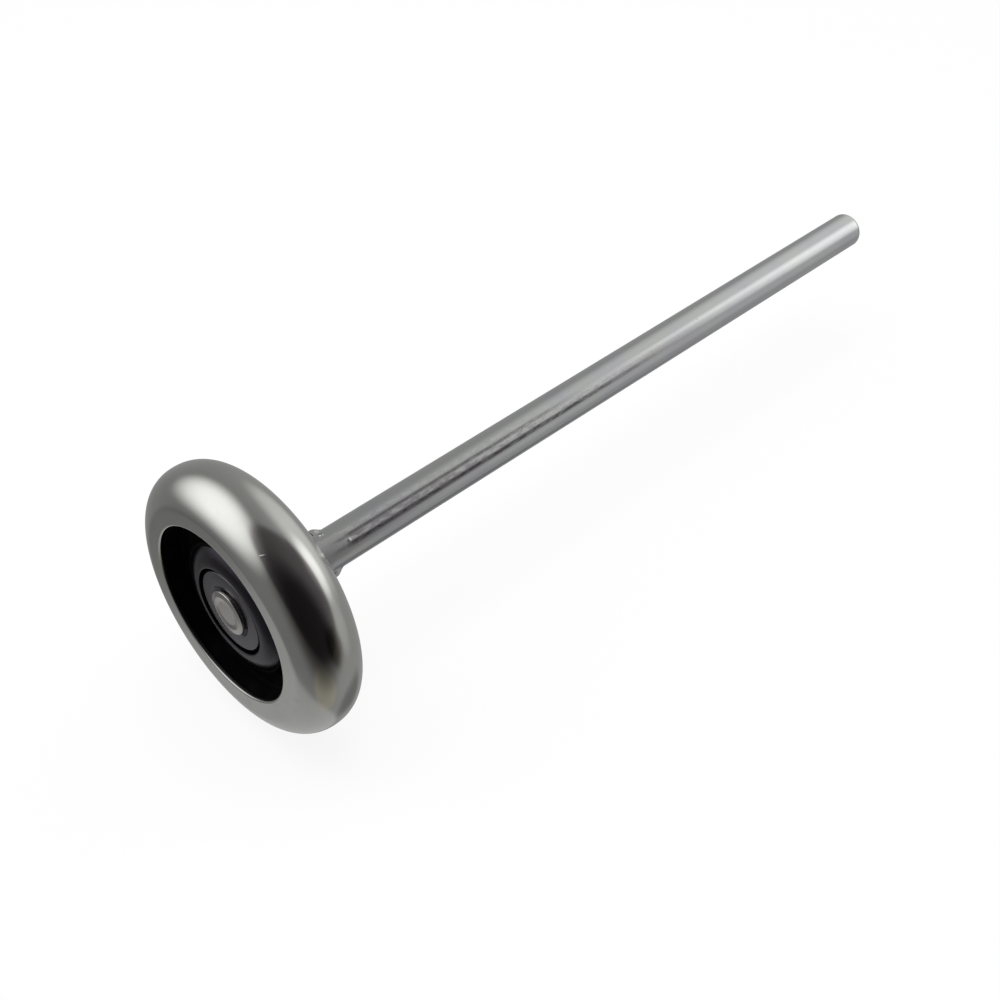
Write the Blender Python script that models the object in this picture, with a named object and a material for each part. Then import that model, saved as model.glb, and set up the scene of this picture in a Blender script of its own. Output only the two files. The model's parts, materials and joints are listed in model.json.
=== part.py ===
"""Stem roller for a sectional door: a rolled steel tyre on a black core, a ball bearing and a long stem.

Metres, +Z up. The origin is on the stem's axis where a hinge sleeve stops against the ears. The stem runs
along +Y to its tip, and the wheel's open face looks along -Y. Sizes stack outwards from the stem: bearing,
core, tyre. Each piece is modelled about the wheel's centre, and the stem carries them all.
"""

import math

import bmesh
import bpy
from mathutils import Matrix, Vector

# Stem
STEM_RADIUS = 0.00555
STEM_REACH = 0.221  # from the ears to the tip
WHEEL_REACH = 0.026  # from the ears to the wheel's middle plane
TIP_ROUND = 0.002
HEAD_OVERHANG = 0.00065
HEAD_HEIGHT = 0.0006
HEAD_DOME = 0.0002
HEAD_ROUND = 0.0003

# Ears staked out of the stem behind the wheel
EAR_COUNT = 2
EAR_FIRST_ANGLE = math.radians(135.0)
EAR_HEIGHT = 0.00145
EAR_LENGTH = 0.004
EAR_CROWN = 0.001
EAR_ROOT = 0.001  # how far an ear's body reaches below the stem's surface
EAR_BASE_WIDTH = 0.0034
EAR_TOP_WIDTH = 0.0022

# Sleeve between the inner race and the ears
SPACER_WALL = 0.0012

# Ball bearing
BALL_RADIUS = 0.003
INNER_RACE_WALL = 0.00295  # from the bore to the bottom of the ball groove
INNER_RACE_SHOULDER = 0.00345
OUTER_RACE_WALL = 0.00175
OUTER_RACE_SHOULDER = 0.00115
RACE_CHAMFER = 0.0003
KEY_DEPTH = 0.0007  # groove round the outer race that the core grips
KEY_WIDTH = 0.0024
CAGE_WALL = 0.001
CAGE_RIM = 0.00105
CAGE_WEB = 0.0009  # least width between two pockets

# Pressed shields over the bearing
SHIELD_LAP = 0.0007  # how far a shield reaches past the outer race
SHIELD_HEIGHT = 0.00235
SHIELD_THICKNESS = 0.00085
SHIELD_SHOULDER = 0.0037  # radial reach of the full outer shoulder
SHIELD_DROP = 0.0019  # how far the shoulder falls away

# Moulded core
HUB_WALL = 0.00095
HUB_COVER = 0.0008  # how far the hub stands past the outer race
HUB_RISE = 0.0021  # from the web to the hub's end
HUB_ROUND = 0.0004
RECESS_WIDTH = 0.00625
RECESS_DEPTH = 0.0049
RECESS_FILLET = 0.001
RECESS_DRAFT = 0.0006

# Rolled tyre
TREAD_DEPTH = 0.01265  # from the widest place of the section out to the tread
TREAD_FULLNESS = 2.2  # 2 is an ellipse, more is squarer
TYRE_WALL = 0.0018
LIP_OVERLAP = 0.0002  # how far the rolled lips reach in past the core

# Clearances
SEAT_GAP = 0.00015  # round a piece that is pressed or moulded in
FACE_GAP = 0.00015  # between faces that rest on each other
BALL_GAP = 0.0002  # between a ball and its groove
CAGE_GAP = 0.00015  # between the cage and the balls or races
TYRE_GAP = 0.0003  # between the core and the tyre

# Facets
WHEEL_STEPS = 48
BEARING_STEPS = 36
STEM_STEPS = 32
BALL_STEPS = 10
BALL_RINGS = 6
POCKET_STEPS = 12
TREAD_POINTS = 14
LINING_POINTS = 10
GROOVE_POINTS = 5
ROUND_POINTS = 2
SHOULDER_POINTS = 5
MERGE_DISTANCE = 1e-7
SHARP_ANGLE = math.radians(35.0)

# Radii that follow
SEAT_RADIUS = STEM_RADIUS + SEAT_GAP
GROOVE_RADIUS = BALL_RADIUS + BALL_GAP
PITCH_RADIUS = SEAT_RADIUS + INNER_RACE_WALL + GROOVE_RADIUS
LAND_OFFSET = CAGE_WALL / 2 + CAGE_GAP
INNER_LAND_RADIUS = PITCH_RADIUS - LAND_OFFSET
OUTER_LAND_RADIUS = PITCH_RADIUS + LAND_OFFSET
OUTER_RACE_RADIUS = PITCH_RADIUS + GROOVE_RADIUS + OUTER_RACE_WALL
SHIELD_RADIUS = OUTER_RACE_RADIUS + SHIELD_LAP
HUB_RADIUS = SHIELD_RADIUS + SEAT_GAP + HUB_WALL
RECESS_RADIUS = HUB_RADIUS + RECESS_WIDTH
LIP_RADIUS = RECESS_RADIUS - LIP_OVERLAP
HEAD_RADIUS = STEM_RADIUS + HEAD_OVERHANG

# Places along the stem that follow, measured from the wheel's centre
GROOVE_HALF = math.sqrt(GROOVE_RADIUS**2 - LAND_OFFSET**2)
INNER_RACE_HALF = GROOVE_HALF + INNER_RACE_SHOULDER
OUTER_RACE_HALF = GROOVE_HALF + OUTER_RACE_SHOULDER
CAGE_HALF = BALL_RADIUS + CAGE_GAP + CAGE_RIM
HUB_HALF = OUTER_RACE_HALF + HUB_COVER
WEB_HALF = HUB_HALF - HUB_RISE
CORE_HALF = WEB_HALF + RECESS_DEPTH
TYRE_HALF = CORE_HALF + TYRE_GAP + TYRE_WALL
EAR_START = WHEEL_REACH - EAR_LENGTH
SPACER_START = INNER_RACE_HALF + FACE_GAP
SPACER_LENGTH = EAR_START - FACE_GAP - SPACER_START
TIP = WHEEL_REACH + STEM_REACH

# As many balls as fit round the pitch circle with a web between their pockets
POCKET_RADIUS = BALL_RADIUS + CAGE_GAP
BALL_COUNT = math.floor(math.pi / math.asin((POCKET_RADIUS + CAGE_WEB / 2) / PITCH_RADIUS))


def clear_scene():
    """Remove every object of the scene that is open."""
    for old in list(bpy.data.objects):
        bpy.data.objects.remove(old, do_unlink=True)


def finish(name, colour, roughness, metallic):
    """Make a material with a Principled BSDF."""
    material = bpy.data.materials.new(name)
    material.use_nodes = True
    shader = material.node_tree.nodes["Principled BSDF"]
    shader.inputs["Base Color"].default_value = (*colour, 1.0)
    shader.inputs["Roughness"].default_value = roughness
    shader.inputs["Metallic"].default_value = metallic
    return material


def arc(centre, radius, start, end, steps=ROUND_POINTS, height=None):
    """Points (radius, along) of an arc between two angles in degrees, both ends included.

    With a height it is part of an ellipse, whose half axis along the stem is that height.
    """
    tall = radius if height is None else height
    angles = [math.radians(start + (end - start) * step / steps) for step in range(steps + 1)]
    return [(centre[0] + radius * math.cos(a), centre[1] + tall * math.sin(a)) for a in angles]


def mirrored(points):
    """The same outline on the other side of the wheel's middle plane, in the opposite order."""
    return [(radius, -along) for radius, along in reversed(points)]


def tread_curve(half_depth, half_width, end_radius, count):
    """Points of a full rounded section, from its front end over the tread to its rear end."""
    reach = (end_radius - RECESS_RADIUS) / half_depth
    last = math.acos(math.copysign(abs(reach) ** (TREAD_FULLNESS / 2), reach))
    points = []
    for step in range(count + 1):
        angle = last * (2 * step / count - 1)
        out = math.copysign(abs(math.cos(angle)) ** (2 / TREAD_FULLNESS), math.cos(angle))
        side = math.copysign(abs(math.sin(angle)) ** (2 / TREAD_FULLNESS), math.sin(angle))
        points.append((RECESS_RADIUS + half_depth * out, half_width * side))
    return points


def turned(name, profile, steps, closed=True):
    """Turn an outline of (radius, along) points round the Y axis into a closed mesh.

    A closed outline is a ring's section. An open one starts and ends on the axis.
    """
    shape = bmesh.new()
    points = [shape.verts.new((radius, along, 0.0)) for radius, along in profile]
    followers = points[1:] + points[:1] if closed else points[1:]
    edges = [shape.edges.new(pair) for pair in zip(points, followers)]
    bmesh.ops.spin(
        shape,
        geom=points + edges,
        cent=(0.0, 0.0, 0.0),
        axis=(0.0, 1.0, 0.0),
        angle=2 * math.pi,
        steps=steps,
        use_merge=True,
    )
    bmesh.ops.remove_doubles(shape, verts=shape.verts, dist=MERGE_DISTANCE)
    bmesh.ops.recalc_face_normals(shape, faces=shape.faces)
    return smooth_mesh(name, shape)


def smooth_mesh(name, shape):
    """Turn a bmesh into a mesh that is shaded smooth between its sharp edges."""
    mesh = bpy.data.meshes.new(name)
    shape.to_mesh(mesh)
    shape.free()
    mesh.shade_smooth()
    mesh.set_sharp_from_angle(angle=SHARP_ANGLE)
    return mesh


def place(name, mesh, material, parent=None, location=(0.0, 0.0, 0.0), turn=0.0):
    """Put a mesh in the scene as one piece, turned about the vertical."""
    piece = bpy.data.objects.new(name, mesh)
    if not mesh.materials:
        mesh.materials.append(material)
    piece.location = location
    piece.rotation_euler = (0.0, 0.0, turn)
    piece.parent = parent
    bpy.context.scene.collection.objects.link(piece)
    return piece


def tool(name, shape, parent):
    """Put a shape in the scene that only cuts or adds to a piece."""
    mesh = bpy.data.meshes.new(name)
    shape.to_mesh(mesh)
    shape.free()
    guide = bpy.data.objects.new(name, mesh)
    guide.hide_render = True
    guide.display_type = "WIRE"
    guide.parent = parent
    bpy.context.scene.collection.objects.link(guide)
    return guide


def combine(piece, guide, operation):
    """Cut a piece with a guide, or add the guide to it."""
    change = piece.modifiers.new(guide.name, "BOOLEAN")
    change.object = guide
    change.operation = operation
    change.solver = "EXACT"


def add_prism(shape, base, top):
    """Add a closed block between two outlines of as many points."""
    lower = [shape.verts.new(point) for point in base]
    upper = [shape.verts.new(point) for point in top]
    faces = [shape.faces.new(lower), shape.faces.new(upper)]
    for this in range(len(base)):
        after = (this + 1) % len(base)
        faces.append(shape.faces.new((lower[this], lower[after], upper[after], upper[this])))
    bmesh.ops.recalc_face_normals(shape, faces=faces)


def make_stem(material):
    """Plated rod with a headed front end, a rounded tip and staked ears."""
    head_back = -INNER_RACE_HALF - FACE_GAP
    head_front = head_back - HEAD_HEIGHT
    rim = (HEAD_RADIUS - HEAD_ROUND, head_front + HEAD_ROUND)
    profile = [
        (0.0, head_front - HEAD_DOME),
        (HEAD_RADIUS / 2, head_front - HEAD_DOME * 3 / 4),
        *arc(rim, HEAD_ROUND, -90.0, 0.0),
        (HEAD_RADIUS, head_back),
        (STEM_RADIUS, head_back),
        *arc((STEM_RADIUS - TIP_ROUND, TIP - TIP_ROUND), TIP_ROUND, 0.0, 90.0),
        (0.0, TIP),
    ]
    mesh = turned("stem", profile, STEM_STEPS, closed=False)
    stem = place("stem", mesh, material, location=(0.0, -WHEEL_REACH, 0.0))
    for number in range(EAR_COUNT):
        angle = EAR_FIRST_ANGLE + 2 * math.pi * number / EAR_COUNT
        combine(stem, make_ear(number + 1, angle, stem), "UNION")
    return stem


def make_ear(number, angle, stem):
    """One wedge that stands out of the stem: steep towards the wheel, sloping away towards the tip."""
    top = STEM_RADIUS + EAR_HEIGHT
    root = STEM_RADIUS - EAR_ROOT
    slope = (EAR_LENGTH - EAR_CROWN) / EAR_HEIGHT
    base_end = WHEEL_REACH + EAR_ROOT * slope
    top_end = EAR_START + EAR_CROWN
    half_base = EAR_BASE_WIDTH / 2
    half_top = EAR_TOP_WIDTH / 2
    base = [
        Vector((root, EAR_START, -half_base)),
        Vector((root, base_end, -half_base)),
        Vector((root, base_end, half_base)),
        Vector((root, EAR_START, half_base)),
    ]
    crown = [
        Vector((top, EAR_START, -half_top)),
        Vector((top, top_end, -half_top)),
        Vector((top, top_end, half_top)),
        Vector((top, EAR_START, half_top)),
    ]
    shape = bmesh.new()
    add_prism(shape, base, crown)
    bmesh.ops.transform(shape, matrix=Matrix.Rotation(-angle, 4, "Y"), verts=shape.verts)
    return tool(f"ear_{number}", shape, stem)


def make_spacer(material, stem):
    """Plain sleeve on the stem between the bearing and the ears."""
    outside = SEAT_RADIUS + SPACER_WALL
    profile = [
        (SEAT_RADIUS, 0.0),
        (outside, 0.0),
        (outside, SPACER_LENGTH),
        (SEAT_RADIUS, SPACER_LENGTH),
    ]
    mesh = turned("rear_spacer", profile, STEM_STEPS)
    place("rear_spacer", mesh, material, stem, (0.0, SPACER_START, 0.0))


def make_inner_race(material, stem):
    """Two halves that meet in the ball groove, with a gap between them at the middle plane."""
    split = FACE_GAP / 2
    edge = math.degrees(math.asin(GROOVE_HALF / GROOVE_RADIUS))
    bottom = math.degrees(math.asin(split / GROOVE_RADIUS))
    profile = [
        (SEAT_RADIUS, -split),
        (SEAT_RADIUS, -INNER_RACE_HALF),
        (INNER_LAND_RADIUS - RACE_CHAMFER, -INNER_RACE_HALF),
        (INNER_LAND_RADIUS, -INNER_RACE_HALF + RACE_CHAMFER),
        *arc((PITCH_RADIUS, 0.0), GROOVE_RADIUS, 180.0 + edge, 180.0 + bottom, GROOVE_POINTS),
    ]
    mesh = turned("inner_race", profile, BEARING_STEPS)
    place("inner_race_front", mesh, material, stem)
    place("inner_race_rear", mesh, material, stem, turn=math.pi)


def make_outer_race(material, wheel):
    """Ring with the outer ball groove, and a key groove round its outside."""
    edge = math.degrees(math.asin(GROOVE_HALF / GROOVE_RADIUS))
    key_radius = OUTER_RACE_RADIUS - KEY_DEPTH
    key_half = KEY_WIDTH / 2
    rear_side = [
        (key_radius, key_half),
        (OUTER_RACE_RADIUS, key_half),
        (OUTER_RACE_RADIUS, OUTER_RACE_HALF - RACE_CHAMFER),
        (OUTER_RACE_RADIUS - RACE_CHAMFER, OUTER_RACE_HALF),
        (OUTER_LAND_RADIUS, OUTER_RACE_HALF),
    ]
    groove = arc((PITCH_RADIUS, 0.0), GROOVE_RADIUS, edge, -edge, 2 * GROOVE_POINTS)
    profile = [*rear_side, *groove, *mirrored(rear_side)]
    place("outer_race", turned("outer_race", profile, BEARING_STEPS), material, wheel)


def make_cage(material, stem):
    """Thin ring between the races with a round pocket for each ball."""
    inside = PITCH_RADIUS - CAGE_WALL / 2
    outside = PITCH_RADIUS + CAGE_WALL / 2
    profile = [
        (inside, -CAGE_HALF),
        (outside, -CAGE_HALF),
        (outside, CAGE_HALF),
        (inside, CAGE_HALF),
    ]
    cage = place("ball_cage", turned("ball_cage", profile, BEARING_STEPS), material, stem)
    pockets = bmesh.new()
    for angle in ball_angles():
        add_pocket(pockets, angle, inside, outside)
    combine(cage, tool("cage_pockets", pockets, cage), "DIFFERENCE")
    return cage


def add_pocket(pockets, angle, inside, outside):
    """Add a radial plug that passes through the cage's wall."""
    start = math.sqrt(inside**2 - POCKET_RADIUS**2) - CAGE_GAP
    end = outside + CAGE_WALL
    rim = [math.tau * step / POCKET_STEPS for step in range(POCKET_STEPS)]
    swing = Matrix.Rotation(-angle, 3, "Y")
    ring = [(POCKET_RADIUS * math.sin(a), POCKET_RADIUS * math.cos(a)) for a in rim]
    base = [swing @ Vector((start, along, across)) for along, across in ring]
    top = [swing @ Vector((end, along, across)) for along, across in ring]
    add_prism(pockets, base, top)


def ball_angles():
    """Angles of the balls round the stem."""
    return [math.tau * number / BALL_COUNT for number in range(BALL_COUNT)]


def make_balls(material, cage):
    """Balls on the pitch circle, each with its origin at its own centre."""
    profile = arc((0.0, 0.0), BALL_RADIUS, -90.0, 90.0, BALL_RINGS)
    profile[0] = (0.0, -BALL_RADIUS)
    profile[-1] = (0.0, BALL_RADIUS)
    mesh = turned("ball", profile, BALL_STEPS, closed=False)
    for number, angle in enumerate(ball_angles(), start=1):
        centre = (PITCH_RADIUS * math.cos(angle), 0.0, PITCH_RADIUS * math.sin(angle))
        place(f"ball_{number:02d}", mesh, material, cage, centre)


def make_shields(material, wheel):
    """Pressed caps that close the bearing at the front and at the rear."""
    face = -SHIELD_HEIGHT
    wall = SHIELD_THICKNESS
    shoulder = (SHIELD_RADIUS - SHIELD_SHOULDER, face + SHIELD_DROP)
    profile = [
        (SHIELD_RADIUS, 0.0),
        *arc(shoulder, SHIELD_SHOULDER, 0.0, -90.0, SHOULDER_POINTS, SHIELD_DROP),
        (OUTER_LAND_RADIUS, face),
        (OUTER_LAND_RADIUS, face + wall),
        *arc(shoulder, SHIELD_SHOULDER - wall, -90.0, 0.0, SHOULDER_POINTS, SHIELD_DROP - wall),
        (SHIELD_RADIUS - wall, 0.0),
    ]
    mesh = turned("shield", profile, BEARING_STEPS)
    seat = OUTER_RACE_HALF + FACE_GAP
    place("front_shield", mesh, material, wheel, (0.0, -seat, 0.0))
    place("rear_shield", mesh, material, wheel, (0.0, seat, 0.0), turn=math.pi)


def make_core(material, wheel):
    """Moulded core: a hub for the bearing, a web, and a rim that fills the tyre."""
    fillet = min(RECESS_FILLET, HUB_RISE / 2, RECESS_WIDTH / 4)
    hub_round = min(HUB_ROUND, HUB_WALL / 2, HUB_RISE / 3)
    wall_foot = RECESS_RADIUS - RECESS_DRAFT
    bore = OUTER_RACE_RADIUS + SEAT_GAP
    key_radius = OUTER_RACE_RADIUS - KEY_DEPTH + SEAT_GAP
    key_half = KEY_WIDTH / 2 - SEAT_GAP
    pocket = SHIELD_RADIUS + SEAT_GAP
    floor = WEB_HALF + fillet
    rear_side = [
        *arc((wall_foot - fillet, floor), fillet, 0.0, -90.0),
        *arc((HUB_RADIUS + fillet, floor), fillet, -90.0, -180.0),
        *arc((HUB_RADIUS - hub_round, HUB_HALF - hub_round), hub_round, 0.0, 90.0, 2),
        (pocket, HUB_HALF),
        (pocket, OUTER_RACE_HALF),
        (bore, OUTER_RACE_HALF),
        (bore, key_half),
        (key_radius, key_half),
    ]
    lining = TYRE_WALL + TYRE_GAP
    rim = tread_curve(TREAD_DEPTH - lining, TYRE_HALF - lining, RECESS_RADIUS, LINING_POINTS)
    profile = [*rim, *rear_side, *mirrored(rear_side)]
    place("wheel_core", turned("wheel_core", profile, WHEEL_STEPS), material, wheel)


def make_tyre(material, wheel):
    """Rolled steel shell with a full tread and round lips that hold the core."""
    lip = LIP_RADIUS + TYRE_WALL / 2
    outside = tread_curve(TREAD_DEPTH, TYRE_HALF, lip, TREAD_POINTS)
    inside = tread_curve(TREAD_DEPTH - TYRE_WALL, TYRE_HALF - TYRE_WALL, lip, LINING_POINTS)
    outer_end = outside[-1][1]
    inner_end = inside[-1][1]
    middle = (lip, (outer_end + inner_end) / 2)
    rear_lip = arc(middle, (outer_end - inner_end) / 2, 90.0, 270.0, 2 * ROUND_POINTS)[1:-1]
    profile = [*outside, *rear_lip, *reversed(inside), *mirrored(rear_lip)]
    place("tyre", turned("tyre", profile, WHEEL_STEPS), material, wheel)


def make_wheel_axis(stem):
    """Empty on the stem's axis that the turning pieces hang on."""
    axis = bpy.data.objects.new("wheel_axis", None)
    axis.parent = stem
    bpy.context.scene.collection.objects.link(axis)
    return axis


def main():
    clear_scene()
    zinc = finish("zinc_plate", (0.55, 0.55, 0.53), 0.32, 1.0)
    rod = finish("zinc_rod", (0.50, 0.51, 0.50), 0.38, 1.0)
    nylon = finish("black_nylon", (0.012, 0.012, 0.013), 0.45, 0.0)
    dark_steel = finish("dark_steel", (0.075, 0.07, 0.08), 0.45, 0.6)
    race_steel = finish("race_steel", (0.09, 0.085, 0.095), 0.4, 0.8)
    ball_steel = finish("ball_steel", (0.62, 0.62, 0.63), 0.12, 1.0)
    stem = make_stem(rod)
    make_spacer(rod, stem)
    make_inner_race(race_steel, stem)
    cage = make_cage(nylon, stem)
    make_balls(ball_steel, cage)
    wheel = make_wheel_axis(stem)
    make_outer_race(race_steel, wheel)
    make_shields(dark_steel, wheel)
    make_core(nylon, wheel)
    make_tyre(zinc, wheel)


if __name__ == "__main__":
    main()
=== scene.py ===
"""Looks of a stem roller for a sectional door: fine meshes, plated and moulded finishes, studio, camera.

Metres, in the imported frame: the stem runs along +Y, the wheel's open face looks along -Y and +Z is up.
Each piece is a turned mesh that stands for one node of the frame and rides on that node's body.
"""

from __future__ import annotations

import json
import logging
import math
from abc import ABC, abstractmethod
from collections.abc import Callable, Mapping, Sequence
from dataclasses import dataclass
from enum import Enum
from functools import cached_property

import bmesh
import bpy
from mathutils import Matrix, Vector

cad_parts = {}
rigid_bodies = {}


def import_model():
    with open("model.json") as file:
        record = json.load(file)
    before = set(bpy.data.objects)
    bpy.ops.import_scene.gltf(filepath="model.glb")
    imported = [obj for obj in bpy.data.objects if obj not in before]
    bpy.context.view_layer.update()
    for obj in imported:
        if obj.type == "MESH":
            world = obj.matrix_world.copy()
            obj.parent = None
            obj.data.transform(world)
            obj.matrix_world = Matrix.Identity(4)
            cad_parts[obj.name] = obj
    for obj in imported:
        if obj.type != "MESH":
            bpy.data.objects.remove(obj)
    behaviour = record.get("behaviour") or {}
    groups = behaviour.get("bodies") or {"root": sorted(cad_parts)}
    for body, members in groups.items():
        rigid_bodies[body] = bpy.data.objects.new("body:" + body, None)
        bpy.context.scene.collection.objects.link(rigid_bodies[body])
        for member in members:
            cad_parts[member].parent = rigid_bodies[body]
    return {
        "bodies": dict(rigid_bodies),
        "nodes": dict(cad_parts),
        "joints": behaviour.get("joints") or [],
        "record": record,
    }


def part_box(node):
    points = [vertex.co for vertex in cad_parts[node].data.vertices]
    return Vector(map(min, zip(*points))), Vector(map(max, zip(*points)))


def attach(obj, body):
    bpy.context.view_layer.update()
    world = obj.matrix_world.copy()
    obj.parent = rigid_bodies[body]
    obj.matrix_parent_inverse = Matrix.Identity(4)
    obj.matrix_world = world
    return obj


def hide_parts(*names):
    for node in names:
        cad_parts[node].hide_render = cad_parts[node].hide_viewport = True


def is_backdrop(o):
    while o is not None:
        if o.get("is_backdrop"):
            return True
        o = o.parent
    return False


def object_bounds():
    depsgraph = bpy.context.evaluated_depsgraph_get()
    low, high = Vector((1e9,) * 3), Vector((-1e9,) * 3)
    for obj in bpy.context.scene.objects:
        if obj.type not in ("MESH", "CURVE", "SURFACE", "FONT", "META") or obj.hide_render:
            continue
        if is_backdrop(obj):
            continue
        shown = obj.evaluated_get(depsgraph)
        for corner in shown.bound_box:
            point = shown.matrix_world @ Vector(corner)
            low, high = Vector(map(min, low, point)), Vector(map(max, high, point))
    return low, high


LOG = logging.getLogger("stem_roller")
MM = 0.001
WELD_DISTANCE = 1e-7
SHARP_ANGLE = math.radians(38.0)
CORE_DEPTH = 10.55 * MM  # from the widest place of the wheel's section out to the core's rim
WHITE = (1.0, 1.0, 1.0)

Point = tuple[float, float]
Band = tuple[float, float]
Place = tuple[float, float, float]
Colour = tuple[float, float, float]
Relief = Callable[[float, float, float], float]


class Side(Enum):
    """The two faces of the wheel."""

    FRONT = "front"
    REAR = "rear"


class Grain(Enum):
    """Which way the fine lines of a metal surface run."""

    AROUND = "round the wheel"
    ALONG = "along the stem"


def rise(value: float, low: float, high: float) -> float:
    """Smooth step from 0 at low to 1 at high."""
    share = min(max((value - low) / (high - low), 0.0), 1.0)
    return share * share * (3 - 2 * share)


def direction(azimuth: float, elevation: float) -> Vector:
    """Unit vector of a direction.

    Args:
        azimuth: Its turn in degrees, 0 towards -Y and 90 towards +X.
        elevation: Its height over the horizon in degrees.

    Returns:
        The vector.
    """
    turn, lift = math.radians(azimuth), math.radians(elevation)
    flat = math.cos(lift)
    return Vector((math.sin(turn) * flat, -math.cos(turn) * flat, math.sin(lift)))


def on_axis(along: float) -> Vector:
    """A place on the stem's axis."""
    return Vector((0.0, along, 0.0))


def arc(centre: Point, radius: float, start: float, end: float, chords: int = 8) -> list[Point]:
    """Points of a round stretch of an outline.

    Args:
        centre: Its centre, as (radius, along).
        radius: Its radius.
        start: First angle in degrees, from the radial direction towards +Y.
        end: Last angle in degrees.
        chords: How many chords it has.

    Returns:
        The points, both ends included.
    """
    angles = [math.radians(start + (end - start) * step / chords) for step in range(chords + 1)]
    return [(centre[0] + radius * math.cos(a), centre[1] + radius * math.sin(a)) for a in angles]


def flipped(outline: Sequence[Point]) -> list[Point]:
    """The same outline on the other side of the wheel's middle plane, in the opposite order."""
    return [(radius, -along) for radius, along in reversed(outline)]


def even_turn(steps: int) -> list[float]:
    """Angles of a full turn in equal steps."""
    return [math.tau * step / steps for step in range(steps)]


def stations(start: float, end: float, spacing: float) -> list[float]:
    """Places from start to end, both included, no further apart than the spacing."""
    count = max(1, math.ceil((end - start) / spacing))
    return [start + (end - start) * step / count for step in range(count + 1)]


def turned(
    name: str,
    outline: Sequence[Point],
    angles: Sequence[float],
    closed: bool = True,
    relief: Relief | None = None,
) -> bpy.types.Mesh:
    """Turn an outline round the Y axis into a closed, smooth mesh.

    Args:
        name: Name of the mesh.
        outline: Points (radius, along): a ring's section, or an open line from axis to axis.
        angles: Where round the turn the outline is repeated.
        closed: Whether the outline's last point joins its first.
        relief: Height to add to the radius at (angle, radius, along).

    Returns:
        The mesh, with its faces pointing out.
    """
    shape = bmesh.new()
    rows = []
    for angle in angles:
        row = []
        for radius, along in outline:
            reach = radius + relief(angle, radius, along) if relief else radius
            row.append(shape.verts.new((reach * math.cos(angle), along, reach * math.sin(angle))))
        rows.append(row)
    count = len(outline)
    last = count if closed else count - 1
    for here, there in zip(rows, rows[1:] + rows[:1]):
        for this in range(last):
            after = (this + 1) % count
            shape.faces.new((here[this], there[this], there[after], here[after]))
    return smooth_mesh(name, shape)


def smooth_mesh(name: str, shape: bmesh.types.BMesh) -> bpy.types.Mesh:
    """Weld a bmesh and turn it into a mesh that is smooth between its sharp edges.

    Args:
        name: Name of the mesh.
        shape: The bmesh, which is freed.

    Returns:
        The mesh.
    """
    bmesh.ops.remove_doubles(shape, verts=shape.verts, dist=WELD_DISTANCE)
    bmesh.ops.recalc_face_normals(shape, faces=shape.faces)
    mesh = bpy.data.meshes.new(name)
    shape.to_mesh(mesh)
    shape.free()
    mesh.shade_smooth()
    mesh.set_sharp_from_angle(angle=SHARP_ANGLE)
    return mesh


def add_object(name: str, data: bpy.types.ID, place: Sequence[float]) -> bpy.types.Object:
    """Add an object to the scene.

    Args:
        name: Its name.
        data: Its mesh, lamp or camera.
        place: Where its origin goes.

    Returns:
        The object.
    """
    added = bpy.data.objects.new(name, data)
    added.location = place
    bpy.context.scene.collection.objects.link(added)
    return added


class Wire:
    """An output socket that takes part in Python arithmetic through Math nodes."""

    def __init__(self, graph: Graph, socket: bpy.types.NodeSocket) -> None:
        """Keep the socket and the graph it belongs to."""
        self.graph = graph
        self.socket = socket

    def __add__(self, other: Wire | float) -> Wire:
        """Sum."""
        return self.graph.math("ADD", self, other)

    __radd__ = __add__

    def __sub__(self, other: Wire | float) -> Wire:
        """Difference."""
        return self.graph.math("SUBTRACT", self, other)

    def __rsub__(self, other: float) -> Wire:
        """Difference from a number."""
        return self.graph.math("SUBTRACT", other, self)

    def __mul__(self, other: Wire | float) -> Wire:
        """Product."""
        return self.graph.math("MULTIPLY", self, other)

    __rmul__ = __mul__

    def __truediv__(self, other: Wire | float) -> Wire:
        """Quotient."""
        return self.graph.math("DIVIDE", self, other)

    def __rtruediv__(self, other: float) -> Wire:
        """Quotient of a number."""
        return self.graph.math("DIVIDE", other, self)

    def __pow__(self, exponent: float) -> Wire:
        """Power."""
        return self.graph.math("POWER", self, exponent)

    def __rpow__(self, base: float) -> Wire:
        """Power of a number."""
        return self.graph.math("POWER", base, self)


Input = Wire | float | tuple[float, ...]


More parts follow.
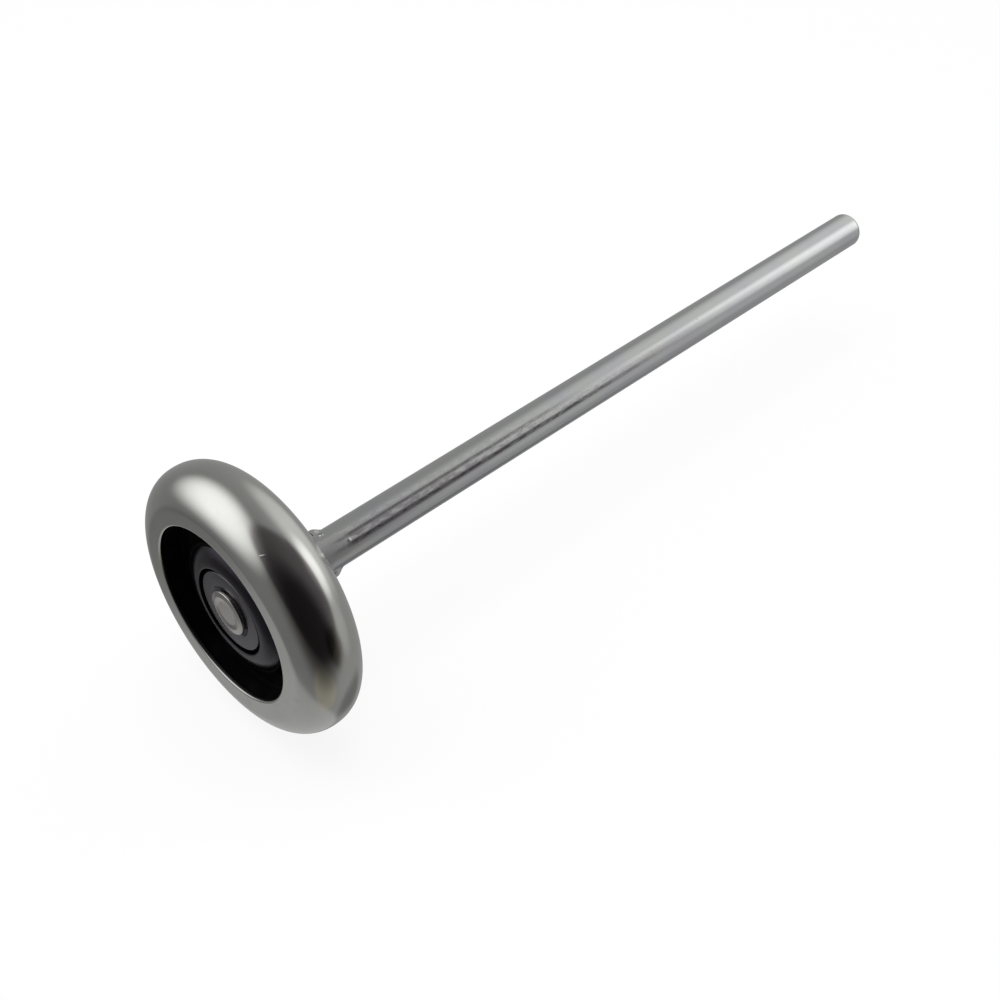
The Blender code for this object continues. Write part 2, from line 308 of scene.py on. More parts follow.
class Graph:
    """A node tree that is written as expressions."""

    def __init__(self, tree: bpy.types.NodeTree) -> None:
        """Start from an empty tree."""
        self.tree = tree
        self.tree.nodes.clear()

    def node(
        self,
        kind: str,
        settings: Mapping[str, object] | None = None,
        sockets: Mapping[str | int, Input] | None = None,
        output: str | int = 0,
    ) -> Wire:
        """Add one node.

        Args:
            kind: The node's type.
            settings: Its own properties, which are set first.
            sockets: Values or links of its inputs, by name, identifier or number.
            output: The output that is wanted, by name, identifier or number.

        Returns:
            That output.
        """
        made = self.tree.nodes.new(kind)
        for key, value in (settings or {}).items():
            setattr(made, key, value)
        for key, value in (sockets or {}).items():
            socket = self.find(made.inputs, key)
            if isinstance(value, Wire):
                self.tree.links.new(value.socket, socket)
            elif isinstance(value, tuple) and len(value) < len(socket.default_value):
                socket.default_value = (*value, 1.0)
            else:
                socket.default_value = value
        return Wire(self, self.find(made.outputs, output))

    def end(self, kind: str, surface: Wire) -> None:
        """Close the tree with its output node."""
        self.tree.links.new(surface.socket, self.tree.nodes.new(kind).inputs["Surface"])

    @staticmethod
    def find(sockets: bpy.types.bpy_prop_collection, key: str | int) -> bpy.types.NodeSocket:
        """Find a socket of a node.

        Args:
            sockets: The node's inputs or outputs.
            key: The socket's number, identifier or name.

        Returns:
            The socket.
        """
        if isinstance(key, int):
            return sockets[key]
        return next((s for s in sockets if s.identifier == key), None) or sockets[key]

    def math(self, operation: str, *values: Wire | float) -> Wire:
        """A Math node."""
        return self.node("ShaderNodeMath", {"operation": operation}, dict(enumerate(values)))

    def vector(self, operation: str, *values: Input, output: str = "Vector") -> Wire:
        """A Vector Math node."""
        return self.node("ShaderNodeVectorMath", {"operation": operation}, dict(enumerate(values)), output)

    def dot(self, first: Input, second: Input) -> Wire:
        """Dot product of two vectors."""
        return self.vector("DOT_PRODUCT", first, second, output="Value")

    def blend(self, share: Wire | float, first: Input, second: Input) -> Wire:
        """Mix two colours."""
        sockets = {"Factor_Float": share, "A_Color": first, "B_Color": second}
        return self.node("ShaderNodeMix", {"data_type": "RGBA"}, sockets, "Result_Color")

    def rise(self, value: Wire, low: float, high: float) -> Wire:
        """Smooth step from 0 at low to 1 at high."""
        sockets = {"Value": value, "From Min": low, "From Max": high}
        return self.node("ShaderNodeMapRange", {"interpolation_type": "SMOOTHSTEP"}, sockets)

    @cached_property
    def place(self) -> Wire:
        """Where a point of the surface is, in the piece's own metres."""
        return self.node("ShaderNodeTexCoord", output="Object")

    @cached_property
    def coordinates(self) -> tuple[Wire, Wire, Wire]:
        """The three numbers of that place.

        Returns:
            X, Y and Z.
        """
        split = self.node("ShaderNodeSeparateXYZ", sockets={"Vector": self.place}).socket.node
        x, y, z = (Wire(self, socket) for socket in split.outputs)
        return x, y, z

    @cached_property
    def reach(self) -> Wire:
        """Distance of that place from the Y axis."""
        x, _, z = self.coordinates
        return (x * x + z * z) ** 0.5

    def joined(self, x: Input, y: Input, z: Input) -> Wire:
        """A vector of three numbers."""
        return self.node("ShaderNodeCombineXYZ", sockets={"X": x, "Y": y, "Z": z})

    def noise(self, vector: Wire, scale: float, detail: float = 2.0, fourth: Wire | None = None) -> Wire:
        """Cloudy noise from 0 to 1.

        Args:
            vector: Where it is read.
            scale: How many clouds a unit of the vector holds.
            detail: How many finer layers lie on it.
            fourth: A fourth coordinate, if it has one.

        Returns:
            Its height.
        """
        sockets: dict[str | int, Input] = {"Vector": vector, "Scale": scale, "Detail": detail}
        if fourth is None:
            return self.node("ShaderNodeTexNoise", {"noise_dimensions": "3D"}, sockets)
        return self.node("ShaderNodeTexNoise", {"noise_dimensions": "4D"}, {**sockets, "W": fourth})

    def bump(self, height: Wire, depth: float) -> Wire:
        """A normal that is tilted by a height, which counts in depths of so many metres."""
        return self.node("ShaderNodeBump", sockets={"Height": height, "Strength": 1.0, "Distance": depth})


@dataclass(frozen=True)
class Blotches:
    """Blotches of noise on a surface.

    Attributes:
        scale: How many a metre holds.
        detail: How many finer layers lie on them.
        low: Noise at which a blotch starts.
        high: Noise at which it is full.
    """

    scale: float
    detail: float
    low: float
    high: float

    def noise(self, graph: Graph) -> Wire:
        """The noise itself, from 0 to 1."""
        return graph.noise(graph.place, self.scale, self.detail)

    def step(self, graph: Graph, noise: Wire) -> Wire:
        """Where a noise is a blotch, from 0 to 1."""
        return graph.rise(noise, self.low, self.high)

    def mask(self, graph: Graph) -> Wire:
        """The blotches, from 0 to 1."""
        return self.step(graph, self.noise(graph))


@dataclass(frozen=True)
class Burr:
    """A bright burr that the staking raised on the rod.

    Attributes:
        angle: Its angle round the rod.
        along: Its place along the rod.
        height: Its height.
        half: Half its width.
    """

    angle: float
    along: float
    height: float
    half: float = 0.8 * MM

    def raised(self, graph: Graph, radius: float) -> Wire:
        """Its height over the rod.

        Args:
            graph: The graph that is written.
            radius: Radius of the rod.

        Returns:
            The height in metres.
        """
        middle = (radius * math.cos(self.angle), self.along, radius * math.sin(self.angle))
        distance = graph.vector("DISTANCE", graph.place, middle, output="Value")
        return (1 - graph.rise(distance, 0.0, self.half)) * self.height


@dataclass(frozen=True, kw_only=True)
class Finish(ABC):
    """A surface: its colour, its shine and the nodes that vary them.

    Attributes:
        name: Name of the material.
        tone: Its main colour.
        roughness: Its mean roughness.
    """

    name: str
    tone: Colour
    roughness: float

    @abstractmethod
    def coat(self, graph: Graph) -> dict[str, Input]:
        """The shader's sockets, by name."""

    def material(self) -> bpy.types.Material:
        """Make the material.

        Returns:
            The material.
        """
        material = bpy.data.materials.new(self.name)
        material.use_nodes = True
        graph = Graph(material.node_tree)
        shader = graph.node("ShaderNodeBsdfPrincipled", sockets=self.coat(graph))
        graph.end("ShaderNodeOutputMaterial", shader)
        return material

    @staticmethod
    def lines(graph: Graph, grain: Grain, fineness: float, stretch: float) -> Wire:
        """Fine lines left by rolling, turning or drawing.

        Args:
            graph: The graph that is written.
            grain: Which way the lines run.
            fineness: How many lines a metre holds.
            stretch: How often a line changes, in a turn or a metre.

        Returns:
            The lines' height from 0 to 1.
        """
        x, along, z = graph.coordinates
        if grain is Grain.ALONG:
            return graph.noise(graph.joined(x * fineness, along * stretch, z * fineness), 1.0)
        radius = graph.reach
        turn = graph.joined(x / radius * stretch, z / radius * stretch, radius * fineness)
        return graph.noise(turn, 1.0, fourth=along * fineness)


@dataclass(frozen=True, kw_only=True)
class ZincPlate(Finish):
    """Zinc plate on steel: satin, a little cloudy in hue, with fine lines.

    Attributes:
        drift: Colour that the plate drifts to in places.
        grain: Which way its fine lines run.
        fineness: Lines in a metre.
        stretch: How often a line changes, in a turn or a metre.
        line_height: Height of a line.
        clouds: Where the hue drifts.
        wear_and_light_tone: Colour of the lighter places: wear and painted light.
        dirt_and_shade_tone: Colour of the dark places: dirt and painted shade.
        cloud_haze: Roughness that the clouds vary.
        line_haze: Roughness that the lines vary.
        dirt_and_shade_haze: Roughness that the dark places add.
        wear_and_light_haze: Roughness that the lighter places add.
    """

    drift: Colour
    grain: Grain
    fineness: float
    stretch: float = 9.0
    line_height: float = 0.0012 * MM
    clouds: Blotches = Blotches(scale=60.0, detail=4.0, low=0.35, high=0.65)
    # Lighter colour, for worn places and for painted light.
    wear_and_light_tone: Colour = (0.9, 0.91, 0.89)
    # Darker colour, for dirt and for painted shade.
    dirt_and_shade_tone: Colour = (0.1, 0.095, 0.105)
    cloud_haze: float = 0.08
    line_haze: float = 0.1
    dirt_and_shade_haze: float = 0.2
    wear_and_light_haze: float = 0.3

    @abstractmethod
    def lightened(self, graph: Graph) -> Wire:
        """Where the plate is lighter, from 0 to 1: wear and painted light."""

    @abstractmethod
    def dirt_and_shade(self, graph: Graph) -> Wire:
        """Where the plate is darker, from 0 to 1: dirt and painted shade."""

    @abstractmethod
    def marks(self, graph: Graph) -> Wire:
        """Height of marks in the plate, in metres."""

    def plate(self, graph: Graph, cloud: Wire) -> Wire:
        """Colour of the sound plate, clouded by a noise from 0 to 1."""
        return graph.blend(self.clouds.step(graph, cloud), self.tone, self.drift)

    def coat(self, graph: Graph) -> dict[str, Input]:
        """Clouded colour with lighter places, from wear and painted light, and darker places, from dirt and
        painted shade.

        Args:
            graph: The graph that is written.

        Returns:
            The shader's sockets, by name.
        """
        cloud = self.clouds.noise(graph)
        lines = self.lines(graph, self.grain, self.fineness, self.stretch)
        lightened = self.lightened(graph)
        dirt_and_shade = self.dirt_and_shade(graph)
        # Lighter places are wear and painted light; darker places are dirt and painted shade.
        bright = graph.blend(lightened, self.plate(graph, cloud), self.wear_and_light_tone)
        haze = self.roughness + (cloud - 0.5) * self.cloud_haze + (lines - 0.5) * self.line_haze
        return {
            "Base Color": graph.blend(dirt_and_shade, bright, self.dirt_and_shade_tone),
            "Metallic": 1.0,
            "Roughness": haze + dirt_and_shade * self.dirt_and_shade_haze + lightened * self.wear_and_light_haze,
            "Normal": graph.bump(lines * self.line_height + self.marks(graph), 1.0),
        }


@dataclass(frozen=True, kw_only=True)
class TyrePlate(ZincPlate):
    """Plate of the tyre: wear and a painted highlight on the lips' edges, painted shade on their inner
    faces, and a nick on the tread.

    Attributes:
        lip_radius: Radius of the lips.
        lip_place: Distance of the lips' edges from the middle plane.
        lip_slope: Over how much of that distance an inner face turns into an edge.
        lip_width: Width of their edge with wear and the painted highlight.
        lip_even: Width of that edge where it is full.
        lip_highlight: How much lighter the edges are: wear and a painted highlight line.
        lip_shade: How dark the painted shade on their inner faces is.
        smears: Faint smears on the tread.
        smear_dark: How dark the smears are.
        nick: Middle of the nick.
        nick_along: Direction of the nick.
        nick_across: Direction across it.
        nick_length: Half its length.
        nick_width: Half its width.
        nick_height: Height of the ridge that it throws up.
        nick_bright: How bright it is.
    """

    lip_radius: float
    lip_place: float = 9.32 * MM
    lip_slope: float = 0.3 * MM
    lip_width: float = 0.6 * MM
    lip_even: float = 0.18 * MM
    lip_highlight: float = 0.12
    lip_shade: float = 0.85
    smears: Blotches = Blotches(scale=220.0, detail=5.0, low=0.6, high=0.8)
    smear_dark: float = 0.12
    nick: Place = (17.8 * MM, -5.6 * MM, 31.0 * MM)
    nick_along: Place = (0.56, 0.75, -0.36)
    nick_across: Place = (-0.68, 0.66, 0.31)
    nick_length: float = 0.9 * MM
    nick_width: float = 0.22 * MM
    nick_height: float = 0.025 * MM
    nick_bright: float = 0.4

    def lip(self, graph: Graph) -> tuple[Wire, Wire]:
        """Where the lips are.

        Args:
            graph: The graph that is written.

        Returns:
            Their edges, with wear and a painted highlight, and their inner faces, with painted shade, both
            from 0 to 1.
        """
        _, along, _ = graph.coordinates
        near = 1 - graph.rise(graph.reach, self.lip_radius + self.lip_even, self.lip_radius + self.lip_width)
        depth = graph.math("ABSOLUTE", along)
        front = graph.rise(depth, self.lip_place - self.lip_slope, self.lip_place)
        return near * front, near * (1 - front)

    def lightened(self, graph: Graph) -> Wire:
        """The lips' edges, with wear and a painted highlight, and the nick."""
        edge, _ = self.lip(graph)
        # The lips' edges get wear and a painted highlight line.
        return edge * self.lip_highlight + self.scratch(graph) * self.nick_bright

    def dirt_and_shade(self, graph: Graph) -> Wire:
        """Faint smears, and painted shade on the lips' inner faces."""
        _, inside = self.lip(graph)
        # The lips' inner faces get painted shade.
        return self.smears.mask(graph) * self.smear_dark + inside * self.lip_shade

    def marks(self, graph: Graph) -> Wire:
        """The ridge that the nick throws up."""
        return self.scratch(graph) * self.nick_height

    def scratch(self, graph: Graph) -> Wire:
        """The nick: a short thin ridge round its middle.

        Args:
            graph: The graph that is written.

        Returns:
            Its height from 0 to 1.
        """
        offset = graph.vector("SUBTRACT", graph.place, self.nick)
        lengthwise = graph.dot(offset, self.nick_along) / self.nick_length
        sideways = graph.dot(offset, self.nick_across) / self.nick_width
        inwards = graph.vector("LENGTH", offset, output="Value") / (2 * self.nick_length)
        spread = lengthwise**2.0 + sideways**2.0
        return 1 - graph.rise(graph.math("MAXIMUM", spread, inwards), 0.0, 1.0)


@dataclass(frozen=True, kw_only=True)
class RodPlate(ZincPlate):
    """Plate of the stem: painted dark reflection in two scores that drawing left, and painted light on a
    strip between them.

    Attributes:
        radius: Radius of the rod.
        strip_angle: Angle of the strip.
        strip_half: Half the distance between the scores, and half the strip's width.
        strip_solid: Share of the strip that its streaks leave whole.
        beside_half: Half the width of a fainter strip of painted light beside the upper score.
        beside_light: How strong the painted light of that strip is.
        lower_half: Half the width of the lower score.
        lower_end: Where the lower score has faded out.
        upper_half: Half the width of the upper score.
        upper_end: Where the upper score has faded out.
        upper_shade: How dark the painted dark reflection of the upper score is beside the lower one.
        score_start: Where the scores and strips start.
        score_full: Where they are full.
        fade_share: Share of its length at which a score starts to fade.
        even_share: Share of a score's width that is even.
        score_solid: How dark a score's painted dark reflection is between its streaks.
        score_streaked: How much darker it is in them.
        wander: How far a score wanders across.
        wander_rate: How often it does so in a metre.
        wander_detail: How many finer layers its wandering has.
        streak_rate: How many streaks a metre holds in each direction.
        streak_detail: How many finer layers they have.
        bright_streaks: Noise at which a streak of the strips starts and is full.
        dark_streaks: Noise at which a streak of the scores starts and is full.
        specks: Small dark specks.
        speck_dark: How dark they are.
        under_drift: How much less the hue drifts on top of the rod.
        head_tone: Colour of the headed end.
        head_end: Where the headed end stops.
        head_blend: Length over which its colour stops.
        stake_full: Where the dull place that the staking left is full.
        stake_end: Where it has faded out.
        stake_band: Where it starts and is full towards the strip, as shares of the radius.
        stake_light: How much painted light the staked place gets.
        stake_dark: How dark it is.
        burrs: Burrs that the staking raised.
    """

    radius: float
    strip_angle: float
    strip_half: float = 1.15 * MM
    strip_solid: float = 0.35
    beside_half: float = 1.035 * MM
    beside_light: float = 0.4
    lower_half: float = 0.75 * MM
    lower_end: float = 132.0 * MM
    upper_half: float = 0.675 * MM
    upper_end: float = 95.0 * MM
    upper_shade: float = 0.7
    score_start: float = -5.0 * MM
    score_full: float = 5.0 * MM
    fade_share: float = 0.6
    even_share: float = 0.2
    score_solid: float = 0.25
    score_streaked: float = 0.6
    wander: float = 0.3 * MM
    wander_rate: float = 120.0
    wander_detail: float = 3.0
    streak_rate: Place = (1500.0, 420.0, 1500.0)
    streak_detail: float = 4.0
    bright_streaks: Band = (0.4, 0.62)
    dark_streaks: Band = (0.35, 0.6)
    specks: Blotches = Blotches(scale=900.0, detail=3.0, low=0.66, high=0.78)
    speck_dark: float = 0.2
    under_drift: float = 0.12
    head_tone: Colour = (0.55, 0.537, 0.508)
    head_end: float = -32.0 * MM
    head_blend: float = 0.5 * MM
    stake_full: float = -12.8 * MM
    stake_end: float = 4.0 * MM
    stake_band: Band = (0.75, 0.95)
    stake_light: float = 0.7
    stake_dark: float = 0.3
    burrs: tuple[Burr, Burr] = (
        Burr(angle=math.radians(101.0), along=-2.4 * MM, height=0.3 * MM),
        Burr(angle=math.radians(43.5), along=2.6 * MM, height=0.08 * MM),
    )

    def plate(self, graph: Graph, cloud: Wire) -> Wire:
        """Colour of the sound plate, warmer and darker on the headed end.

        Args:
            graph: The graph that is written.
            cloud: Cloudy noise from 0 to 1.

        Returns:
            The colour.
        """
        _, along, height = graph.coordinates
        share = self.clouds.step(graph, cloud - height * (self.under_drift / self.radius))
        headed = 1 - graph.rise(along, self.head_end, self.head_end + self.head_blend)
        return graph.blend(headed, graph.blend(share, self.tone, self.drift), self.head_tone)

    def outward(self, graph: Graph) -> Wire:
        """How far a place lies out from the rod's axis towards the strip."""
        return graph.dot(graph.place, (math.cos(self.strip_angle), 0.0, math.sin(self.strip_angle)))

    def score(self, graph: Graph, middle: float, half: float, end: float) -> Wire:
        """One soft line along the rod, on the strip's side of it.

        Args:
            graph: The graph that is written.
            middle: Distance of the line from the strip's middle.
            half: Half the line's width.
            end: Where the line has faded out along the rod.

        Returns:
            Its strength, from 0 to 1.
        """
        across = graph.dot(graph.place, (-math.sin(self.strip_angle), 0.0, math.cos(self.strip_angle)))
        lengthwise = graph.vector("MULTIPLY", graph.place, (0.0, self.wander_rate, 0.0))
        wander = (graph.noise(lengthwise, 1.0, self.wander_detail) - 0.5) * self.wander
        offset = graph.math("ABSOLUTE", across + wander - middle)
        line = 1 - graph.rise(offset, self.even_share * half, half)
        _, along, _ = graph.coordinates
        start = graph.rise(along, self.score_start, self.score_full)
        reach = start * (1 - graph.rise(along, self.fade_share * end, end))
        return line * graph.rise(self.outward(graph), 0.0, self.radius) * reach

    def streaks(self, graph: Graph, band: Band) -> Wire:
        """Short streaks along the rod, which break the scores up."""
        stretched = graph.vector("MULTIPLY", graph.place, self.streak_rate)
        return graph.rise(graph.noise(stretched, 1.0, self.streak_detail), *band)

    def staked(self, graph: Graph) -> Wire:
        """The dull place that the staking tool left on the strip's side, which also gets painted light.

        Args:
            graph: The graph that is written.

        Returns:
            Its strength, from 0 to 1.
        """
        _, along, _ = graph.coordinates
        start = graph.rise(along, self.head_end, self.stake_full)
        reach = start * (1 - graph.rise(along, 0.0, self.stake_end))
        low, high = self.stake_band
        return graph.rise(self.outward(graph), low * self.radius, high * self.radius) * reach

    def lightened(self, graph: Graph) -> Wire:
        """Painted light on the strip between the scores, on a faint strip beside them, and on the staked
        place.

        Args:
            graph: The graph that is written.

        Returns:
            The share that is painted lighter.
        """
        streaks = self.streaks(graph, self.bright_streaks)
        # The strip, the faint strip beside it and the staked place are painted light.
        strip = self.score(graph, 0.0, self.strip_half, self.lower_end)
        strip = strip * (self.strip_solid + streaks * (1 - self.strip_solid))
        beside = self.score(graph, 2 * self.strip_half, self.beside_half, self.upper_end)
        return strip + beside * streaks * self.beside_light + self.staked(graph) * self.stake_light

    def dirt_and_shade(self, graph: Graph) -> Wire:
        """Painted dark reflection in the two scores, a darker share of the staked place, and small dark
        specks.

        Args:
            graph: The graph that is written.

        Returns:
            The share that is dark.
        """
        # The scores' darkness is a painted dark reflection.
        lower = self.score(graph, -self.strip_half, self.lower_half, self.lower_end)
        upper = self.score(graph, self.strip_half, self.upper_half, self.upper_end)
        broken = self.score_solid + self.streaks(graph, self.dark_streaks) * self.score_streaked
        scores = (lower + upper * self.upper_shade) * broken
        return scores + self.specks.mask(graph) * self.speck_dark + self.staked(graph) * self.stake_dark

    def marks(self, graph: Graph) -> Wire:
        """Height of the burrs, in metres."""
        first, second = (burr.raised(graph, self.radius) for burr in self.burrs)
        return first + second


@dataclass(frozen=True, kw_only=True)
class MouldedNylon(Finish):
    """Black moulded plastic with the mould's fine texture.

    Attributes:
        gloss: Strength of its reflections.
        texture_scale: Grains of the texture in a metre.
        texture_depth: Depth of the texture.
        texture_haze: Roughness that the texture varies.
        bloom: Faint pale bloom on it.
        bloom_haze: Roughness that the bloom varies.
        bloom_gain: How much paler the bloom is.
    """

    gloss: float
    texture_scale: float = 4200.0
    texture_depth: float = 0.012 * MM
    texture_haze: float = 0.1
    bloom: Blotches = Blotches(scale=160.0, detail=3.0, low=0.45, high=0.75)
    bloom_haze: float = 0.15
    bloom_gain: float = 2.2

    def coat(self, graph: Graph) -> dict[str, Input]:
        """Fine texture and a faint bloom.

        Args:
            graph: The graph that is written.

        Returns:
            The shader's sockets, by name.
        """
        texture = graph.noise(graph.place, self.texture_scale)
        bloom = self.bloom.noise(graph)
        pale = tuple(channel * self.bloom_gain for channel in self.tone)
        haze = self.roughness + (bloom - 0.5) * self.bloom_haze
        return {
            "Base Color": graph.blend(self.bloom.step(graph, bloom), self.tone, pale),
            "Roughness": haze + (texture - 0.5) * self.texture_haze,
            "Specular IOR Level": self.gloss,
            "Normal": graph.bump(texture, self.texture_depth),
        }


@dataclass(frozen=True, kw_only=True)
class DarkSteel(Finish):
    """Steel under a dark satin coat, with the rings of its turning showing through.

    Attributes:
        worn: Colour of the rubbed places.
        metal: How metallic it looks.
        fineness: Rings in a metre.
        stretch: How often a ring changes in a turn.
        ring_depth: Depth of a ring.
        ring_haze: Roughness that the rings vary.
        ring_share: How much the rings take part in the rubbed places.
        patches: Rubbed places.
        patch_haze: Roughness that they vary.
    """

    worn: Colour
    metal: float = 0.95
    fineness: float = 3200.0
    stretch: float = 3.0
    ring_depth: float = 0.01 * MM
    ring_haze: float = 0.14
    ring_share: float = 0.4
    patches: Blotches = Blotches(scale=260.0, detail=4.0, low=0.5, high=0.72)
    patch_haze: float = 0.12

    def coat(self, graph: Graph) -> dict[str, Input]:
        """Turned rings and rubbed patches.

        Args:
            graph: The graph that is written.

        Returns:
            The shader's sockets, by name.
        """
        rings = self.lines(graph, Grain.AROUND, self.fineness, self.stretch)
        cloud = self.patches.noise(graph)
        lightened = self.patches.step(graph, cloud * (1 - self.ring_share) + rings * self.ring_share)
        haze = self.roughness + (rings - 0.5) * self.ring_haze
        return {
            "Base Color": graph.blend(lightened, self.tone, self.worn),
            "Metallic": self.metal,
            "Roughness": haze + (cloud - 0.5) * self.patch_haze,
            "Normal": graph.bump(rings, self.ring_depth),
        }


@dataclass(frozen=True, kw_only=True)
class PolishedSteel(Finish):
    """Bright ball steel with a film of grease.

    Attributes:
        film: Where the grease tints it.
        film_tint: Tint of the grease.
        film_depth: Depth of the film.
        haze: Noise at which the grease starts to dull it and has dulled it.
        haze_gain: Roughness that the grease adds.
    """

    film: Blotches = Blotches(scale=700.0, detail=3.0, low=0.45, high=0.7)
    film_tint: Colour = (1.0, 0.93, 0.8)
    film_depth: float = 0.004 * MM
    haze: Band = (0.4, 0.8)
    haze_gain: float = 0.2

    def coat(self, graph: Graph) -> dict[str, Input]:
        """A thin smear over a mirror.

        Args:
            graph: The graph that is written.

        Returns:
            The shader's sockets, by name.
        """
        smear = self.film.noise(graph)
        amber = tuple(channel * share for channel, share in zip(self.tone, self.film_tint))
        return {
            "Base Color": graph.blend(self.film.step(graph, smear), self.tone, amber),
            "Metallic": 1.0,
            "Roughness": self.roughness + graph.rise(smear, *self.haze) * self.haze_gain,
            "Normal": graph.bump(smear, self.film_depth),
        }


@dataclass(frozen=True)
class Rig:
    """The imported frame: what carries its nodes and which slot each takes.

    Attributes:
        bodies: Body of each node.
        slots: Material slot of each node.
    """

    bodies: dict[str, str]
    slots: dict[str, str]

    @classmethod
    def read(cls, frame: dict) -> Rig:
        """Read the frame's record.

        Args:
            frame: The frame, as it is loaded.

        Returns:
            The rig.
        """
        groups = frame["record"]["behaviour"]["bodies"]
        return cls(
            bodies={node: body for body, nodes in groups.items() for node in nodes},
            slots={row["node"]: row["material_slot"] for row in frame["record"]["subparts"]},
        )

    def fit(self, name: str, node: str, mesh: bpy.types.Mesh, place: Vector) -> bpy.types.Object:
        """Put a piece in the place of a node.

        Args:
            name: The piece's name.
            node: The node it stands for.
            mesh: Its mesh.
            place: Where the mesh's origin goes.

        Returns:
            The piece, riding on the node's body.
        """
        piece = add_object(name, mesh, place)
        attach(piece, self.bodies[node])
        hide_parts(node)
        LOG.info("%s stands for %s on %s: %d faces", name, node, self.bodies[node], len(mesh.polygons))
        return piece


@dataclass(frozen=True)
class Span:
    """Size of a turned node, read from the frame.

    Attributes:
        radius: Its outer radius.
        front: Its end towards the wheel's open face.
        rear: Its end towards the stem's tip.
    """

    radius: float
    front: float
    rear: float

    @classmethod
    def of(cls, node: str) -> Span:
        """Measure a node."""
        low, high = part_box(node)
        return cls(radius=max(high.x, high.z), front=low.y, rear=high.y)

    @property
    def middle(self) -> float:
        """Place halfway between its ends."""
        return (self.front + self.rear) / 2

    @property
    def half(self) -> float:
        """Half its width."""
        return (self.rear - self.front) / 2


@dataclass(frozen=True)
class FullSection:
    """The full rounded section that tyre and core share: an ellipse with squarer shoulders.

    Attributes:
        centre_radius: Radius of its widest place.
        fullness: 2 is an ellipse, more is squarer.
    """

    centre_radius: float
    fullness: float = 2.2

    def curve(self, depth: float, half_width: float, end_radius: float, chords: int) -> list[Point]:
        """Points from the front end over the tread to the rear end.

        Args:
            depth: From the widest place out to the tread.
            half_width: Half the width at the widest place.
            end_radius: Radius at which both ends stop.
            chords: How many chords the curve has.

        Returns:
            The points.
        """
        reach = (end_radius - self.centre_radius) / depth
        last = math.acos(math.copysign(abs(reach) ** (self.fullness / 2), reach))
        points = []
        for step in range(chords + 1):
            angle = last * (2 * step / chords - 1)
            out = self.shaped(math.cos(angle))
            side = self.shaped(math.sin(angle))
            points.append((self.centre_radius + depth * out, half_width * side))
        return points

    def side(self, radius: float, depth: float, half_width: float) -> Point:
        """Where a side of the section is at a radius.

        Args:
            radius: The radius.
            depth: From the widest place out to the tread.
            half_width: Half the width at the widest place.

        Returns:
            Its distance from the middle plane, and how steeply that falls as the radius grows.
        """
        out = (radius - self.centre_radius) / depth
        across = (1 - out**self.fullness) ** (1 / self.fullness)
        return half_width * across, half_width / depth * (out / across) ** (self.fullness - 1)

    def shaped(self, share: float) -> float:
        """A sine or cosine, bent to the section's fullness."""
        return math.copysign(abs(share) ** (2 / self.fullness), share)


@dataclass
class SubAssembly:
    """A group of pieces that take their sizes from the frame.

    Attributes:
        rig: The frame.
    """

    rig: Rig

    def dress(self, piece: bpy.types.Object, surface: bpy.types.Material) -> None:
        """Give a piece its finish, once for a mesh that several pieces share."""
        if not piece.data.materials:
            piece.data.materials.append(surface)


